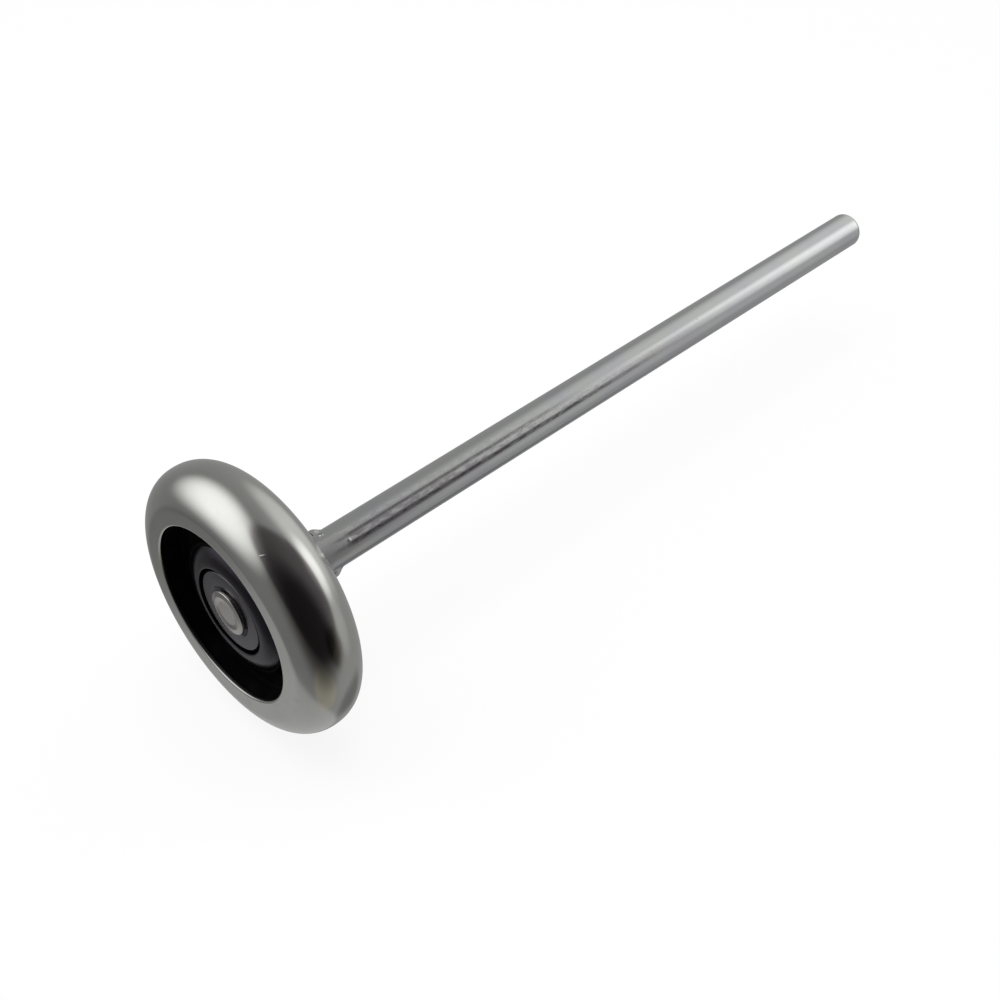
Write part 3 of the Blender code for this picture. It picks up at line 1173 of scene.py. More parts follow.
@dataclass
class Tyre(SubAssembly):
    """Rolled steel shell with a full tread and lips turned in over the core.

    Attributes:
        section: The section that tyre and core share.
        wall: Thickness of the shell.
        lip_reach: How far the lips reach in past the section's widest place.
        lip_edge: Round at a lip's outer corner.
        lip_heel: Round at a lip's inner corner.
        shoulder_radius: Radius at which each face starts to leave the full section.
        face_radius: Radius inside which the rolling leaves it flat.
        shift: How far the rolling left the front opening off centre.
        shift_angle: Direction of that shift.
        steps: Segments round the wheel.
        tread_chords: Chords of the outer section.
        inner_chords: Chords of the inner section.
        edge_chords: Chords of a lip's outer corner.
    """

    section: FullSection
    wall: float = 1.8 * MM
    lip_reach: float = 0.2 * MM
    lip_edge: float = 0.5 * MM
    lip_heel: float = 0.15 * MM
    shoulder_radius: float = 30.8 * MM
    face_radius: float = 29.0 * MM
    shift: float = 0.55 * MM
    shift_angle: float = math.radians(118.0)
    steps: int = 240
    tread_chords: int = 160
    inner_chords: int = 40
    edge_chords: int = 12

    @property
    def lip_radius(self) -> float:
        """Radius of the lips' tips."""
        return self.section.centre_radius - self.lip_reach

    def outside(self, span: Span) -> list[Point]:
        """The shell's outside: the full section, flattened towards the lips.

        Args:
            span: Size of the tyre.

        Returns:
            The points from the front lip over the tread to the rear lip.
        """
        depth = span.radius - self.section.centre_radius
        shoulder, slope = self.section.side(self.shoulder_radius, depth, span.half)
        fall = slope / (2 * (self.shoulder_radius - self.face_radius))
        face = shoulder + fall * (self.shoulder_radius - self.face_radius) ** 2
        points = []
        for radius, along in self.section.curve(
            depth, span.half, self.lip_radius + self.lip_edge, self.tread_chords
        ):
            if radius <= self.shoulder_radius:
                along = math.copysign(face - fall * max(0.0, radius - self.face_radius) ** 2, along)
            points.append((radius, along))
        return points

    def outline(self, span: Span) -> list[Point]:
        """The shell's closed section about the wheel's middle plane.

        Args:
            span: Size of the tyre.

        Returns:
            The section's points.
        """
        depth = span.radius - self.section.centre_radius - self.wall
        end = self.lip_radius + self.lip_heel
        outside = self.outside(span)
        inside = self.section.curve(depth, span.half - self.wall, end, self.inner_chords)
        edge = (self.lip_radius + self.lip_edge, outside[-1][1] - self.lip_edge)
        heel = (end, inside[-1][1] + self.lip_heel)
        rear_lip = [
            *arc(edge, self.lip_edge, 90.0, 180.0, self.edge_chords)[1:],
            *arc(heel, self.lip_heel, 180.0, 270.0)[:-1],
        ]
        return [*outside, *rear_lip, *reversed(inside), *flipped(rear_lip)]

    def shifted(self, angle: float, radius: float, along: float) -> float:
        """How far the rolling moved a point of the front face outwards.

        Args:
            angle: Angle round the wheel.
            radius: Distance from the wheel's axis.
            along: Distance from the middle plane.

        Returns:
            The shift, which fades out at the edge of the flat face.
        """
        if along > 0 or radius > self.face_radius:
            return 0.0
        share = (self.face_radius - radius) / (self.face_radius - self.section.centre_radius)
        return self.shift * share * math.cos(angle - self.shift_angle)

    def build(self) -> bpy.types.Object:
        """Make the shell.

        Returns:
            The piece.
        """
        span = Span.of("tyre")
        mesh = turned("rolled_tyre", self.outline(span), even_turn(self.steps), relief=self.shifted)
        return self.rig.fit("rolled_tyre", "tyre", mesh, on_axis(span.middle))


@dataclass
class Core(SubAssembly):
    """Black moulded core: a hub for the bearing, a web, and a rim that fills the tyre.

    Attributes:
        section: The section that tyre and core share.
        hub_wall: Wall of the hub round a shield.
        hub_cover: How far the hub stands past the outer race.
        hub_rise: From the web to the hub's end.
        hub_round: Round of the hub's end.
        recess_fillet: Fillet at the foot of the recess.
        recess_draft: Draft of the recess wall.
        recess_edge: Round at the mouth of the recess.
        seat_gap: Clearance round the bearing.
        key_depth: Depth of the outer race's key groove, which the core fills.
        key_half: Half the width of the key.
        steps: Segments round the wheel.
        rim_chords: Chords of the rim's section.
    """

    section: FullSection
    hub_wall: float = 0.95 * MM
    hub_cover: float = 0.8 * MM
    hub_rise: float = 2.1 * MM
    hub_round: float = 0.4 * MM
    recess_fillet: float = 1.0 * MM
    recess_draft: float = 0.6 * MM
    recess_edge: float = 0.25 * MM
    seat_gap: float = 0.15 * MM
    key_depth: float = 0.7 * MM
    key_half: float = 1.05 * MM
    steps: int = 200
    rim_chords: int = 60

    def outline(self, span: Span) -> list[Point]:
        """The core's closed section about the wheel's middle plane.

        Args:
            span: Size of the core.

        Returns:
            The section's points.
        """
        race = Span.of("outer_race")
        seat = race.radius + self.seat_gap
        pocket = Span.of("front_shield").radius + self.seat_gap
        hub = pocket + self.hub_wall
        hub_half = race.half + self.hub_cover
        mouth = self.section.centre_radius
        foot = mouth - self.recess_draft
        fillet = self.recess_fillet
        floor = hub_half - self.hub_rise + fillet
        rim = self.section.curve(span.radius - mouth, span.half, mouth + self.recess_edge, self.rim_chords)
        edge = (mouth + self.recess_edge, rim[-1][1] - self.recess_edge)
        rear_side = [
            *arc(edge, self.recess_edge, 90.0, 180.0)[1:],
            *arc((foot - fillet, floor), fillet, 0.0, -90.0),
            *arc((hub + fillet, floor), fillet, -90.0, -180.0),
            *arc((hub - self.hub_round, hub_half - self.hub_round), self.hub_round, 0.0, 90.0),
            (pocket, hub_half),
            (pocket, race.half),
            (seat, race.half),
            (seat, self.key_half),
            (seat - self.key_depth, self.key_half),
        ]
        return [*rim, *rear_side, *flipped(rear_side)]

    def build(self) -> bpy.types.Object:
        """Make the core.

        Returns:
            The piece.
        """
        span = Span.of("wheel_core")
        mesh = turned("moulded_core", self.outline(span), even_turn(self.steps))
        return self.rig.fit("moulded_core", "wheel_core", mesh, on_axis(span.middle))


@dataclass
class Shields(SubAssembly):
    """Pressed caps that close the bearing on both sides.

    Attributes:
        bore: Radius of the hole.
        thickness: Thickness of the sheet.
        drop: How far the domed face falls away towards the rim.
        dome: Power of the dome: 1 is a cone, 2 starts flat.
        curl: Round of the sheet's edge at the hole.
        steps: Segments round the wheel.
        face_step: Radial distance between two points of the face.
        curl_chords: Chords of a round at the hole.
    """

    bore: float = 12.2 * MM
    thickness: float = 0.85 * MM
    drop: float = 1.8 * MM
    dome: float = 2.4
    curl: float = 0.22 * MM
    steps: int = 160
    face_step: float = 0.2 * MM
    curl_chords: int = 5

    def outline(self, span: Span) -> list[Point]:
        """A cap's closed section, its rim at 0 and its face towards +Y.

        Args:
            span: Size of the cap.

        Returns:
            The section's points.
        """
        height = span.rear - span.front
        wall = self.thickness
        inner = self.bore + self.curl
        face = []
        for radius in reversed(stations(inner, span.radius, self.face_step)):
            share = (radius - inner) / (span.radius - inner)
            face.append((radius, height - self.drop * share**self.dome))
        lining = [(min(r, span.radius - wall), max(y - wall, 0.0)) for r, y in reversed(face)]
        return [
            (span.radius, 0.0),
            *face,
            *arc((inner, height - self.curl), self.curl, 90.0, 180.0, self.curl_chords)[1:],
            *arc((inner, height - wall + self.curl), self.curl, 180.0, 270.0, self.curl_chords)[:-1],
            *[point for point in lining if point[1] > 0.0],
            (span.radius - wall, 0.0),
        ]

    def build(self, side: Side) -> bpy.types.Object:
        """Make the cap of one side.

        Args:
            side: The side.

        Returns:
            The piece.
        """
        node = f"{side.value}_shield"
        name = f"pressed_{node}"
        span = Span.of(node)
        outline = self.outline(span)
        seat = span.front
        if side is Side.FRONT:
            outline = flipped(outline)
            seat = span.rear
        mesh = turned(name, outline, even_turn(self.steps))
        return self.rig.fit(name, node, mesh, on_axis(seat))


@dataclass
class Bearing(SubAssembly):
    """Ball bearing between the stem and the core.

    Attributes:
        ball_gap: Clearance between a ball and its groove.
        seat_radius: Bore of the inner race.
        chamfer: Round of the races' edges.
        bore_chamfer: Width of the chamfer round the stem's head.
        face_drop: How far the inner race's faces stand back from the frame's.
        key_depth: Depth of the groove round the outer race.
        key_half: Half its width.
        cage_wall: Wall of the cage.
        cage_round: Round of the cage's edges.
        pocket_gap: Clearance between a ball and its pocket.
        steps: Segments round a ring.
        edge_chords: Chords of a race's edge.
        cage_chords: Chords of a cage's edge.
        half_groove_chords: Chords of half a ball groove.
        groove_chords: Chords of a whole one.
        pocket_steps: Segments round a pocket.
        ball_steps: Segments round a ball, which has half as many from pole to pole.
    """

    ball_gap: float = 0.2 * MM
    seat_radius: float = 5.7 * MM
    chamfer: float = 0.3 * MM
    bore_chamfer: float = 1.5 * MM
    face_drop: float = 0.2 * MM
    key_depth: float = 0.7 * MM
    key_half: float = 1.2 * MM
    cage_wall: float = 1.0 * MM
    cage_round: float = 0.2 * MM
    pocket_gap: float = 0.15 * MM
    steps: int = 160
    edge_chords: int = 5
    cage_chords: int = 3
    half_groove_chords: int = 14
    groove_chords: int = 24
    pocket_steps: int = 48
    ball_steps: int = 56

    @property
    def balls(self) -> list[str]:
        """Names of the frame's balls."""
        return sorted(node for node in self.rig.bodies if self.rig.slots[node] == "ball_steel")

    @staticmethod
    def ball(node: str) -> tuple[Vector, float]:
        """Centre and radius of a ball."""
        low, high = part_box(node)
        return (low + high) / 2, (high.y - low.y) / 2

    def groove(self) -> tuple[Point, float, float]:
        """Measure the ball groove.

        Returns:
            Centre and radius of its section, and its half width at the lands in degrees.
        """
        centre, radius = self.ball(self.balls[0])
        pitch = math.hypot(centre.x, centre.z)
        groove_radius = radius + self.ball_gap
        edge = math.acos((pitch - Span.of("inner_race_front").radius) / groove_radius)
        return (pitch, 0.0), groove_radius, math.degrees(edge)

    def build_inner_race(self, side: Side) -> bpy.types.Object:
        """Make one half of the inner race.

        Args:
            side: The side that it is on.

        Returns:
            The piece.
        """
        node = f"inner_race_{side.value}"
        name = f"ground_{node}"
        span = Span.of(node)
        middle = Span.of("outer_race").middle
        split, face = sorted((abs(span.front - middle), abs(span.rear - middle)))
        face -= self.face_drop
        centre, radius, edge = self.groove()
        bottom = math.degrees(math.asin(split / radius))
        cut = self.chamfer
        outline = [
            (self.seat_radius, split),
            *arc(centre, radius, 180.0 - bottom, 180.0 - edge, self.half_groove_chords),
            *arc((span.radius - cut, face - cut), cut, 0.0, 90.0, self.edge_chords),
            (self.seat_radius + self.bore_chamfer, face),
            (self.seat_radius, face - self.bore_chamfer),
        ]
        outline = flipped(outline) if side is Side.FRONT else outline
        mesh = turned(name, outline, even_turn(self.steps))
        return self.rig.fit(name, node, mesh, on_axis(middle))

    def build_outer_race(self) -> bpy.types.Object:
        """Make the outer race.

        Returns:
            The piece.
        """
        span = Span.of("outer_race")
        centre, radius, edge = self.groove()
        land = centre[0] + radius * math.cos(math.radians(edge))
        cut = self.chamfer
        rear_side = [
            (span.radius - self.key_depth, self.key_half),
            (span.radius, self.key_half),
            *arc((span.radius - cut, span.half - cut), cut, 0.0, 90.0, self.edge_chords),
            (land, span.half),
        ]
        groove = arc(centre, radius, edge, -edge, self.groove_chords)
        mesh = turned("ground_outer_race", [*rear_side, *groove, *flipped(rear_side)], even_turn(self.steps))
        return self.rig.fit("ground_outer_race", "outer_race", mesh, on_axis(span.middle))

    def build_cage(self) -> bpy.types.Object:
        """Make the cage and cut a round pocket for each ball.

        Returns:
            The piece.
        """
        span = Span.of("ball_cage")
        (pitch, _), _, _ = self.groove()
        edge = self.cage_round
        inside = pitch - self.cage_wall / 2
        outside = pitch + self.cage_wall / 2
        rear_side = [
            *arc((outside - edge, span.half - edge), edge, 0.0, 90.0, self.cage_chords),
            *arc((inside + edge, span.half - edge), edge, 90.0, 180.0, self.cage_chords),
        ]
        mesh = turned("snap_cage", [*rear_side, *flipped(rear_side)], even_turn(self.steps))
        cage = self.rig.fit("snap_cage", "ball_cage", mesh, on_axis(span.middle))
        cutter = self.pocket_cutter(span.middle)
        cut = cage.modifiers.new("pockets", "BOOLEAN")
        cut.object = cutter
        cut.solver = "EXACT"
        bpy.context.view_layer.update()
        evaluated = cage.evaluated_get(bpy.context.evaluated_depsgraph_get())
        pocketed = bpy.data.meshes.new_from_object(evaluated)
        cage.modifiers.clear()
        cage.data = pocketed
        bpy.data.objects.remove(cutter, do_unlink=True)
        return cage

    def pocket_cutter(self, middle: float) -> bpy.types.Object:
        """Make radial plugs, one for each ball, that cut the cage's pockets.

        Args:
            middle: Place of the cage's middle plane.

        Returns:
            The plugs, as one object that isn't rendered.
        """
        shape = bmesh.new()
        for node in self.balls:
            centre, radius = self.ball(node)
            outward = Vector((centre.x, 0.0, centre.z))
            turn = outward.to_track_quat("Z", "Y").to_matrix().to_4x4()
            bmesh.ops.create_cone(
                shape,
                cap_ends=True,
                segments=self.pocket_steps,
                radius1=radius + self.pocket_gap,
                radius2=radius + self.pocket_gap,
                depth=2 * radius,
                matrix=Matrix.Translation(outward) @ turn,
            )
        cutter = add_object("pocket_cutter", smooth_mesh("pocket_cutter", shape), on_axis(middle))
        cutter.hide_render = True
        return cutter

    def build_balls(self) -> list[bpy.types.Object]:
        """Make the balls, which share one mesh.

        Returns:
            The pieces.
        """
        _, radius = self.ball(self.balls[0])
        outline = arc((0.0, 0.0), radius, -90.0, 90.0, self.ball_steps // 2)
        mesh = turned("bearing_ball", outline, even_turn(self.ball_steps), closed=False)
        return [self.rig.fit(f"bearing_{node}", node, mesh, self.ball(node)[0]) for node in self.balls]


@dataclass
class Stem(SubAssembly):
    """Plated rod: headed over in front, staked into ears behind the wheel, with a rounded tip.

    Attributes:
        radius: Radius of the rod.
        tip_round: Round of the tip.
        head_height: Height of the head's rim.
        head_round: Round of the head's rim.
        crown_radius: Radius of the raised ring that heading leaves on the head.
        crown_width: Half the width of that ring.
        crown_height: How far it stands over the rest of the head.
        ear_count: How many ears stand round the rod.
        ear_first: Angle of the first ear.
        ear_height: How far an ear stands out.
        ear_length: Length of an ear along the rod.
        ear_face: Length of its steep front.
        ear_crown: From its front to where its top starts to slope down.
        ear_base: Width of its foot.
        ear_top: Width of its top.
        strip_angle: Angle of the strip between the two scores that drawing leaves on the rod.
        strip_half: Half the angle between the scores.
        score_width: Half the angle that a score takes up.
        score_depth: Depth of a score.
        score_full: Where the scores are full.
        score_end: Where the scores have faded out.
        score_hold: Share of their length at which they start to fade.
        score_sway: Angle by which a score sways.
        score_sway_rate: How fast it sways, in radians in a metre.
        spacer_gap: Clearance between the rod and the sleeve behind the bearing.
        spacer_edge: Round of the sleeve's front end.
        spacer_neck: Length of its rear end, which is necked down between the ears.
        spacer_neck_wall: Wall of that neck.
        spacer_slope: Length of the slope down to the neck.
        spacer_steps: Segments round the sleeve.
        rod_step: Distance between two rings of points along the plain rod.
        head_step: Distance between two rings of points on the head.
        ear_step: Distance between two rings of points along an ear.
        ear_fine_step: Distance between them on an ear's steep front.
        ear_fine_length: Length that has these fine steps.
        ear_margin: How far an ear's steps run on past it.
        neck_step: Distance between two rings of points along the neck.
        coarse_turn: Angle between two rows of points round the rod.
        fine_turn: Angle between them over the scores.
        edge_chords: Chords of a small round.
        tip_chords: Chords of the tip's round.
    """

    radius: float = 5.55 * MM
    tip_round: float = 2.0 * MM
    head_height: float = 0.6 * MM
    head_round: float = 0.2 * MM
    crown_radius: float = 4.7 * MM
    crown_width: float = 1.3 * MM
    crown_height: float = 0.2 * MM
    ear_count: int = 2
    ear_first: float = math.radians(135.0)
    ear_height: float = 1.35 * MM
    ear_length: float = 4.0 * MM
    ear_face: float = 0.15 * MM
    ear_crown: float = 0.84 * MM
    ear_base: float = 5.2 * MM
    ear_top: float = 1.2 * MM
    strip_angle: float = math.radians(45.0)
    strip_half: float = math.radians(11.9)
    score_width: float = math.radians(5.5)
    score_depth: float = 0.03 * MM
    score_full: float = 4.0 * MM
    score_end: float = 130.0 * MM
    score_hold: float = 0.6
    score_sway: float = 0.02
    score_sway_rate: float = 70.0
    spacer_gap: float = 0.15 * MM
    spacer_edge: float = 0.25 * MM
    spacer_neck: float = 2.1 * MM
    spacer_neck_wall: float = 0.05 * MM
    spacer_slope: float = 0.7 * MM
    spacer_steps: int = 144
    rod_step: float = 2.0 * MM
    head_step: float = 0.25 * MM
    ear_step: float = 0.2 * MM
    ear_fine_step: float = 0.05 * MM
    ear_fine_length: float = 0.4 * MM
    ear_margin: float = 0.6 * MM
    neck_step: float = 0.1 * MM
    coarse_turn: float = math.radians(2.2)
    fine_turn: float = math.radians(0.75)
    edge_chords: int = 5
    tip_chords: int = 10

    def outline(self, span: Span) -> list[Point]:
        """The rod's open outline, from the head's centre to the tip's.

        Args:
            span: Size of the stem.

        Returns:
            The outline's points.
        """
        head = span.radius
        back = span.front + self.crown_height + self.head_height
        inner = head - self.head_round
        face = [(radius, self.head_face(radius, span)) for radius in stations(0.0, inner, self.head_step)]
        rim = (inner, face[-1][1] + self.head_round)
        ear = -self.ear_length
        tip = span.rear - self.tip_round
        rod = [
            *stations(back, ear - self.ear_step, self.rod_step),
            *stations(ear, ear + self.ear_fine_length, self.ear_fine_step),
            *stations(ear + self.ear_fine_length + 2 * self.ear_fine_step, self.ear_margin, self.ear_step),
            *stations(self.rod_step, tip, self.rod_step)[:-1],
        ]
        return [
            *face,
            *arc(rim, self.head_round, -90.0, 0.0, self.edge_chords)[1:],
            (head, back),
            *[(self.radius, along) for along in rod],
            *arc((self.radius - self.tip_round, tip), self.tip_round, 0.0, 90.0, self.tip_chords),
            (0.0, span.rear),
        ]

    def head_face(self, radius: float, span: Span) -> float:
        """Where the head's face is along the rod, with the raised ring that heading leaves on it."""
        offset = min(1.0, abs(radius - self.crown_radius) / self.crown_width)
        return span.front + self.crown_height * (1 - (1 - offset * offset) ** 2)

    def relief(self, angle: float, radius: float, along: float) -> float:
        """How far the rod's surface stands out of a plain cylinder.

        Args:
            angle: Angle round the rod.
            radius: Radius of the outline there.
            along: Place along the rod.

        Returns:
            The height of the ears less the depth of the scores.
        """
        if abs(radius - self.radius) > WELD_DISTANCE:
            return 0.0
        return self.ear(angle, along) - self.scores(angle, along)

    def ear(self, angle: float, along: float) -> float:
        """Height of the staked ears.

        Args:
            angle: Angle round the rod.
            along: Place along the rod.

        Returns:
            The height.
        """
        start = rise(along, -self.ear_length, -self.ear_length + self.ear_face)
        slope = 1 - rise(along, -self.ear_length + self.ear_crown, 0.0)
        return self.ear_height * self.ear_share(angle) * start * slope

    def ear_share(self, angle: float) -> float:
        """Height of the ears round the rod, as a share of their full height.

        Args:
            angle: Angle round the rod.

        Returns:
            1 in the middle of an ear and 0 between the ears.
        """
        turn = math.tau / self.ear_count
        offset = abs((angle - self.ear_first + turn / 2) % turn - turn / 2) * self.radius
        return 1 - rise(offset, self.ear_top / 2, self.ear_base / 2)

    def scores(self, angle: float, along: float) -> float:
        """Depth of the two scores.

        Args:
            angle: Angle round the rod.
            along: Place along the rod.

        Returns:
            The depth.
        """
        sway = self.score_sway * math.sin(along * self.score_sway_rate)
        offset = abs(abs(angle - self.strip_angle + sway) - self.strip_half)
        end = 1 - rise(along, self.score_hold * self.score_end, self.score_end)
        fade = rise(along, 0.0, self.score_full) * end
        return fade * self.score_depth * (1 - rise(offset, 0.0, self.score_width))

    def angles(self) -> list[float]:
        """Steps round the rod, closer together over the scores.

        Returns:
            The angles of a full turn.
        """
        start = self.strip_angle - 2 * self.strip_half
        end = self.strip_angle + 2 * self.strip_half
        coarse = stations(end, start + math.tau, self.coarse_turn)
        return [*stations(start, end, self.fine_turn), *coarse[1:-1]]

    def build(self) -> bpy.types.Object:
        """Make the rod."""
        mesh = turned("plated_stem", self.outline(Span.of("stem")), self.angles(), False, self.relief)
        return self.rig.fit("plated_stem", "stem", mesh, Vector())

    def build_spacer(self) -> bpy.types.Object:
        """Make the sleeve between the bearing and the ears.

        Returns:
            The piece.
        """
        span = Span.of("rear_spacer")
        bore = self.radius + self.spacer_gap
        edge = self.spacer_edge
        neck = span.rear - self.spacer_neck
        drop = span.radius - bore - self.spacer_neck_wall

        def necked(angle: float, radius: float, along: float) -> float:
            """How far the sleeve is necked down there."""
            share = rise(radius, bore, span.radius) * (1 - self.ear_share(angle))
            return -drop * share * rise(along, neck - self.spacer_slope, neck)

        slope = stations(neck - 2 * self.spacer_slope, span.rear, self.neck_step)
        outline = [
            (bore, span.front),
            *arc((span.radius - edge, span.front + edge), edge, -90.0, 0.0, self.edge_chords),
            *[(span.radius, along) for along in slope],
            (bore, span.rear),
        ]
        mesh = turned("plated_spacer", outline, even_turn(self.spacer_steps), relief=necked)
        return self.rig.fit("plated_spacer", "rear_spacer", mesh, Vector())


@dataclass(frozen=True)
class Patch:
    """A soft round patch of the studio's walls.

    Attributes:
        azimuth: Its direction in degrees, 0 towards -Y and 90 towards +X.
        elevation: Its height over the horizon in degrees.
        even: Half angle of its even middle in degrees.
        edge: Half angle at which it has faded out.
        level: Light that it adds, or share that it takes away.
        tint: Tint of the light in its middle.
    """

    azimuth: float
    elevation: float
    even: float
    edge: float
    level: float
    tint: Colour = WHITE

    def fade(self, graph: Graph, view: Wire) -> Wire:
        """Its shape: 1 in its middle and 0 outside, along a direction of view."""
        cosine = graph.dot(view, tuple(direction(self.azimuth, self.elevation)))
        return graph.rise(cosine, math.cos(math.radians(self.edge)), math.cos(math.radians(self.even)))


@dataclass(frozen=True)
class Studio:
    """Pale floor and soft walls of light round the object.

    Attributes:
        walls: Level of the walls.
        key_light: Broad soft light over the wheel's open face.
        back_light: Light behind the wheel, which runs down the stem and the back of the tread.
        back_wall: Pale wall behind that light.
        back_glow: Faint light over the whole rear half.
        front_ground: Pale ground before the wheel.
        stem_glow: Faint light beside the stem.
        side_ground: Pale ground on the camera's side.
        camera_side: Darkness on the side that the camera stands on.
        camera_sky: Darkness over it.
        dark_corner: Dark place beside the tread.
        rear_ground: Darker ground behind the wheel.
        front_corner: Darker place just over the pale ground before the wheel.
        olive_ground: Tint of the pale ground on the camera's side.
        lamp_height: Height of the lamp that lights the matte surfaces.
        lamp_width: Width of that lamp.
        lamp_power: Power of that lamp in watts.
        floor_reach: Half the floor's width.
        floor_tone: The floor's colour in bounced light.
        floor_white: Share of the floor that the camera sees as plain white.
    """

    walls: float = 0.212
    key_light: Patch = Patch(-45.5, 33.0, even=0.0, edge=52.0, level=1.32)
    back_light: Patch = Patch(148.5, 26.0, even=0.0, edge=26.0, level=0.76)
    back_wall: Patch = Patch(180.5, 26.0, even=14.0, edge=43.5, level=0.43)
    back_glow: Patch = Patch(170.0, -6.0, even=43.0, edge=143.5, level=0.15)
    front_ground: Patch = Patch(-45.0, -72.0, even=26.5, edge=30.5, level=0.18)
    stem_glow: Patch = Patch(129.0, -5.0, even=0.0, edge=30.0, level=0.15)
    side_ground: Patch = Patch(55.0, -50.0, even=18.0, edge=24.0, level=0.17)
    camera_side: Patch = Patch(59.0, 4.5, even=27.5, edge=64.5, level=0.83, tint=(1.0, 0.91, 0.9))
    camera_sky: Patch = Patch(69.5, 32.5, even=53.5, edge=62.0, level=0.7, tint=(1.0, 0.89, 0.96))
    dark_corner: Patch = Patch(100.0, -15.0, even=9.0, edge=22.0, level=0.75, tint=(1.0, 0.93, 0.8))
    rear_ground: Patch = Patch(156.0, -62.0, even=6.0, edge=20.0, level=0.45)
    front_corner: Patch = Patch(-57.0, -35.0, even=5.0, edge=14.0, level=0.25)
    olive_ground: Patch = Patch(55.0, -50.0, even=18.0, edge=25.0, level=0.2, tint=(1.0, 0.95, 0.8))
    lamp_height: float = 1.2
    lamp_width: float = 1.0
    lamp_power: float = 10.0
    floor_reach: float = 3.0
    floor_tone: Colour = (0.6, 0.6, 0.58)
    floor_white: float = 0.88

    @property
    def lights(self) -> tuple[Patch, ...]:
        """Patches that add light to the walls."""
        behind = (self.back_light, self.back_wall, self.back_glow)
        return self.key_light, *behind, self.front_ground, self.stem_glow, self.side_ground

    @property
    def shades(self) -> tuple[Patch, ...]:
        """Patches that take light away, in the order in which they tint it."""
        beside = (self.camera_side, self.camera_sky, self.dark_corner)
        return *beside, self.rear_ground, self.front_corner, self.olive_ground

    def lay_floor(self, level: float) -> None:
        """Lay the floor under the object and keep its shadow on it.

        Args:
            level: Height of the floor.
        """
        reach = self.floor_reach
        corners = ((-reach, -reach), (reach, -reach), (reach, reach), (-reach, reach))
        shape = bmesh.new()
        shape.faces.new([shape.verts.new((x, y, level)) for x, y in corners])
        floor = add_object("floor", smooth_mesh("floor", shape), Vector())
        material = bpy.data.materials.new("pale_floor")
        material.use_nodes = True
        graph = Graph(material.node_tree)
        seen = graph.node("ShaderNodeLightPath", output="Is Camera Ray")
        tone = graph.blend(seen, self.floor_tone, WHITE)
        matte = graph.node("ShaderNodeBsdfDiffuse", sockets={"Color": tone})
        white = graph.node("ShaderNodeEmission", sockets={"Color": WHITE, "Strength": 1.0})
        mixed = graph.node("ShaderNodeMixShader", sockets={0: seen * self.floor_white, 1: matte, 2: white})
        graph.end("ShaderNodeOutputMaterial", mixed)
        floor.data.materials.append(material)
        floor.visible_glossy = False
        floor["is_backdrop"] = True

    def hang_lamp(self) -> None:
        """Hang a wide lamp over the object, which shiny surfaces don't mirror."""
        data = bpy.data.lights.new("top_lamp", "AREA")
        data.size = self.lamp_width
        data.energy = self.lamp_power
        lamp = add_object("top_lamp", data, (0.0, 0.0, self.lamp_height))
        lamp.visible_camera = False
        lamp.visible_glossy = False

    def hang_walls(self) -> None:
        """Light the object from soft walls, which the camera sees as plain white."""
        world = bpy.data.worlds.new("studio")
        world.use_nodes = True
        graph = Graph(world.node_tree)
        view = graph.node("ShaderNodeTexCoord", output="Generated")
        level: Wire | float = self.walls
        for light in self.lights:
            level = level + light.fade(graph, view) * light.level
        tone: Input = WHITE
        for shade in self.shades:
            fade = shade.fade(graph, view)
            level = level * (1 - fade * shade.level)
            tone = graph.blend(fade * fade, tone, shade.tint)
        soft = graph.node("ShaderNodeBackground", sockets={"Color": tone, "Strength": level})
        white = graph.node("ShaderNodeBackground", sockets={"Color": WHITE, "Strength": 1.0})
        seen = graph.node("ShaderNodeLightPath", output="Is Camera Ray")
        mixed = graph.node("ShaderNodeMixShader", sockets={0: seen, 1: soft, 2: white})
        graph.end("ShaderNodeOutputWorld", mixed)
        bpy.context.scene.world = world


@dataclass(frozen=True)
class Viewpoint:
    """The camera, level, looking at a point on the stem's plane.

    Attributes:
        aim: The point that the picture's centre shows.
        azimuth: Direction of the camera in degrees, 0 towards -Y.
        elevation: Its height over the horizon in degrees.
        distance: Its distance from the aim.
        lens: Focal length in millimetres.
        sensor: Width of the picture at that length.
        nearest: Distance at which it starts to see.
    """

    aim: Place = (16.67 * MM, 43.62 * MM, 0.0)
    azimuth: float = 46.0
    elevation: float = 42.07
    distance: float = 394.62 * MM
    lens: float = 53.46
    sensor: float = 36.0
    nearest: float = 10.0 * MM

    def build(self) -> None:
        """Set up the camera."""
        back = direction(self.azimuth, self.elevation)
        data = bpy.data.cameras.new("camera")
        data.lens = self.lens
        data.sensor_width = self.sensor
        data.clip_start = self.nearest
        camera = add_object("camera", data, Vector(self.aim) + back * self.distance)
        camera.rotation_mode = "QUATERNION"
        camera.rotation_quaternion = (-back).to_track_quat("-Z", "Y")
        bpy.context.scene.camera = camera


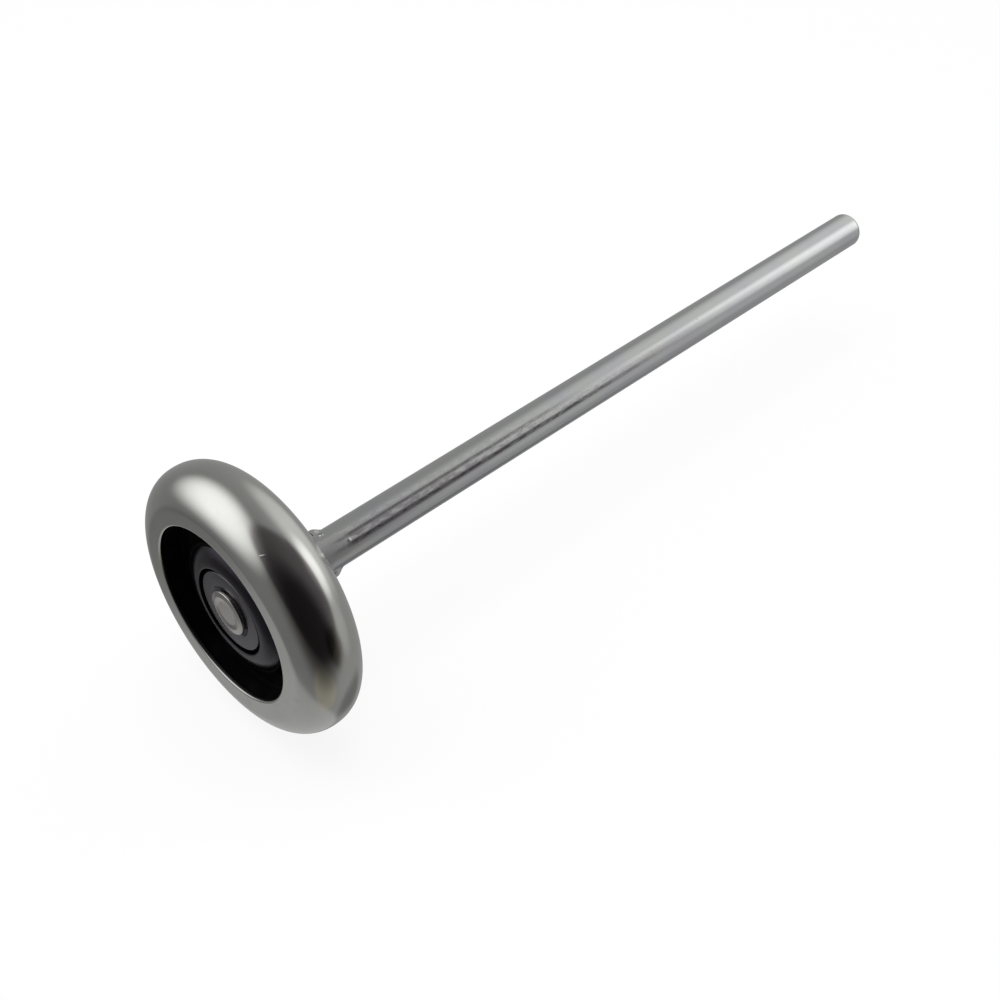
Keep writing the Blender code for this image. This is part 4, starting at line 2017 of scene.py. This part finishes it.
def build_wheel(rig: Rig, nylon: bpy.types.Material) -> None:
    """Build and dress the tyre and the core.

    Args:
        rig: The frame.
        nylon: Finish of the core.
    """
    section = FullSection(Span.of("wheel_core").radius - CORE_DEPTH)
    tyre = Tyre(rig, section)
    plate = TyrePlate(
        name="tyre_plate",
        tone=(0.6, 0.605, 0.575),
        roughness=0.16,
        drift=(0.565, 0.57, 0.54),
        grain=Grain.AROUND,
        fineness=2600.0,
        lip_radius=tyre.lip_radius,
    )
    tyre.dress(tyre.build(), plate.material())
    core = Core(rig, section)
    core.dress(core.build(), nylon)


def build_bearing(rig: Rig, nylon: bpy.types.Material) -> None:
    """Build and dress the races, the shields, the cage and the balls.

    Args:
        rig: The frame.
        nylon: Finish of the cage.
    """
    shield_coat = DarkSteel(
        name="shield_coat", tone=(0.032, 0.028, 0.036), roughness=0.23, worn=(0.05, 0.045, 0.056)
    ).material()
    race_coat = DarkSteel(
        name="race_coat", tone=(0.121, 0.114, 0.131), roughness=0.3, worn=(0.158, 0.15, 0.167)
    ).material()
    chrome = PolishedSteel(name="ball_chrome", tone=(0.72, 0.72, 0.73), roughness=0.08).material()
    shields = Shields(rig)
    bearing = Bearing(rig)
    bearing.dress(bearing.build_outer_race(), race_coat)
    for side in Side:
        shields.dress(shields.build(side), shield_coat)
        bearing.dress(bearing.build_inner_race(side), race_coat)
    bearing.dress(bearing.build_cage(), nylon)
    for ball in bearing.build_balls():
        bearing.dress(ball, chrome)


def build_stem(rig: Rig) -> None:
    """Build and dress the stem and its spacer.

    Args:
        rig: The frame.
    """
    stem = Stem(rig)
    plate = RodPlate(
        name="rod_plate",
        tone=(0.62, 0.635, 0.62),
        roughness=0.2,
        drift=(0.6, 0.6, 0.63),
        grain=Grain.ALONG,
        fineness=4000.0,
        radius=stem.radius,
        strip_angle=stem.strip_angle,
    ).material()
    stem.dress(stem.build(), plate)
    stem.dress(stem.build_spacer(), plate)


def main() -> None:
    """Load the frame and build the roller in its studio, on a floor at the frame's lowest point."""
    logging.basicConfig(level=logging.INFO, format="%(message)s")
    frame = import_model()
    frame_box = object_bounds()
    rig = Rig.read(frame)
    nylon = MouldedNylon(
        name="black_nylon", tone=(0.002, 0.002, 0.0022), roughness=0.65, gloss=0.02
    ).material()
    build_wheel(rig, nylon)
    build_bearing(rig, nylon)
    build_stem(rig)
    studio = Studio()
    studio.lay_floor(frame_box[0].z)
    studio.hang_walls()
    studio.hang_lamp()
    Viewpoint().build()
    bpy.context.scene.view_settings.view_transform = "Standard"


if __name__ == "__main__":
    main()
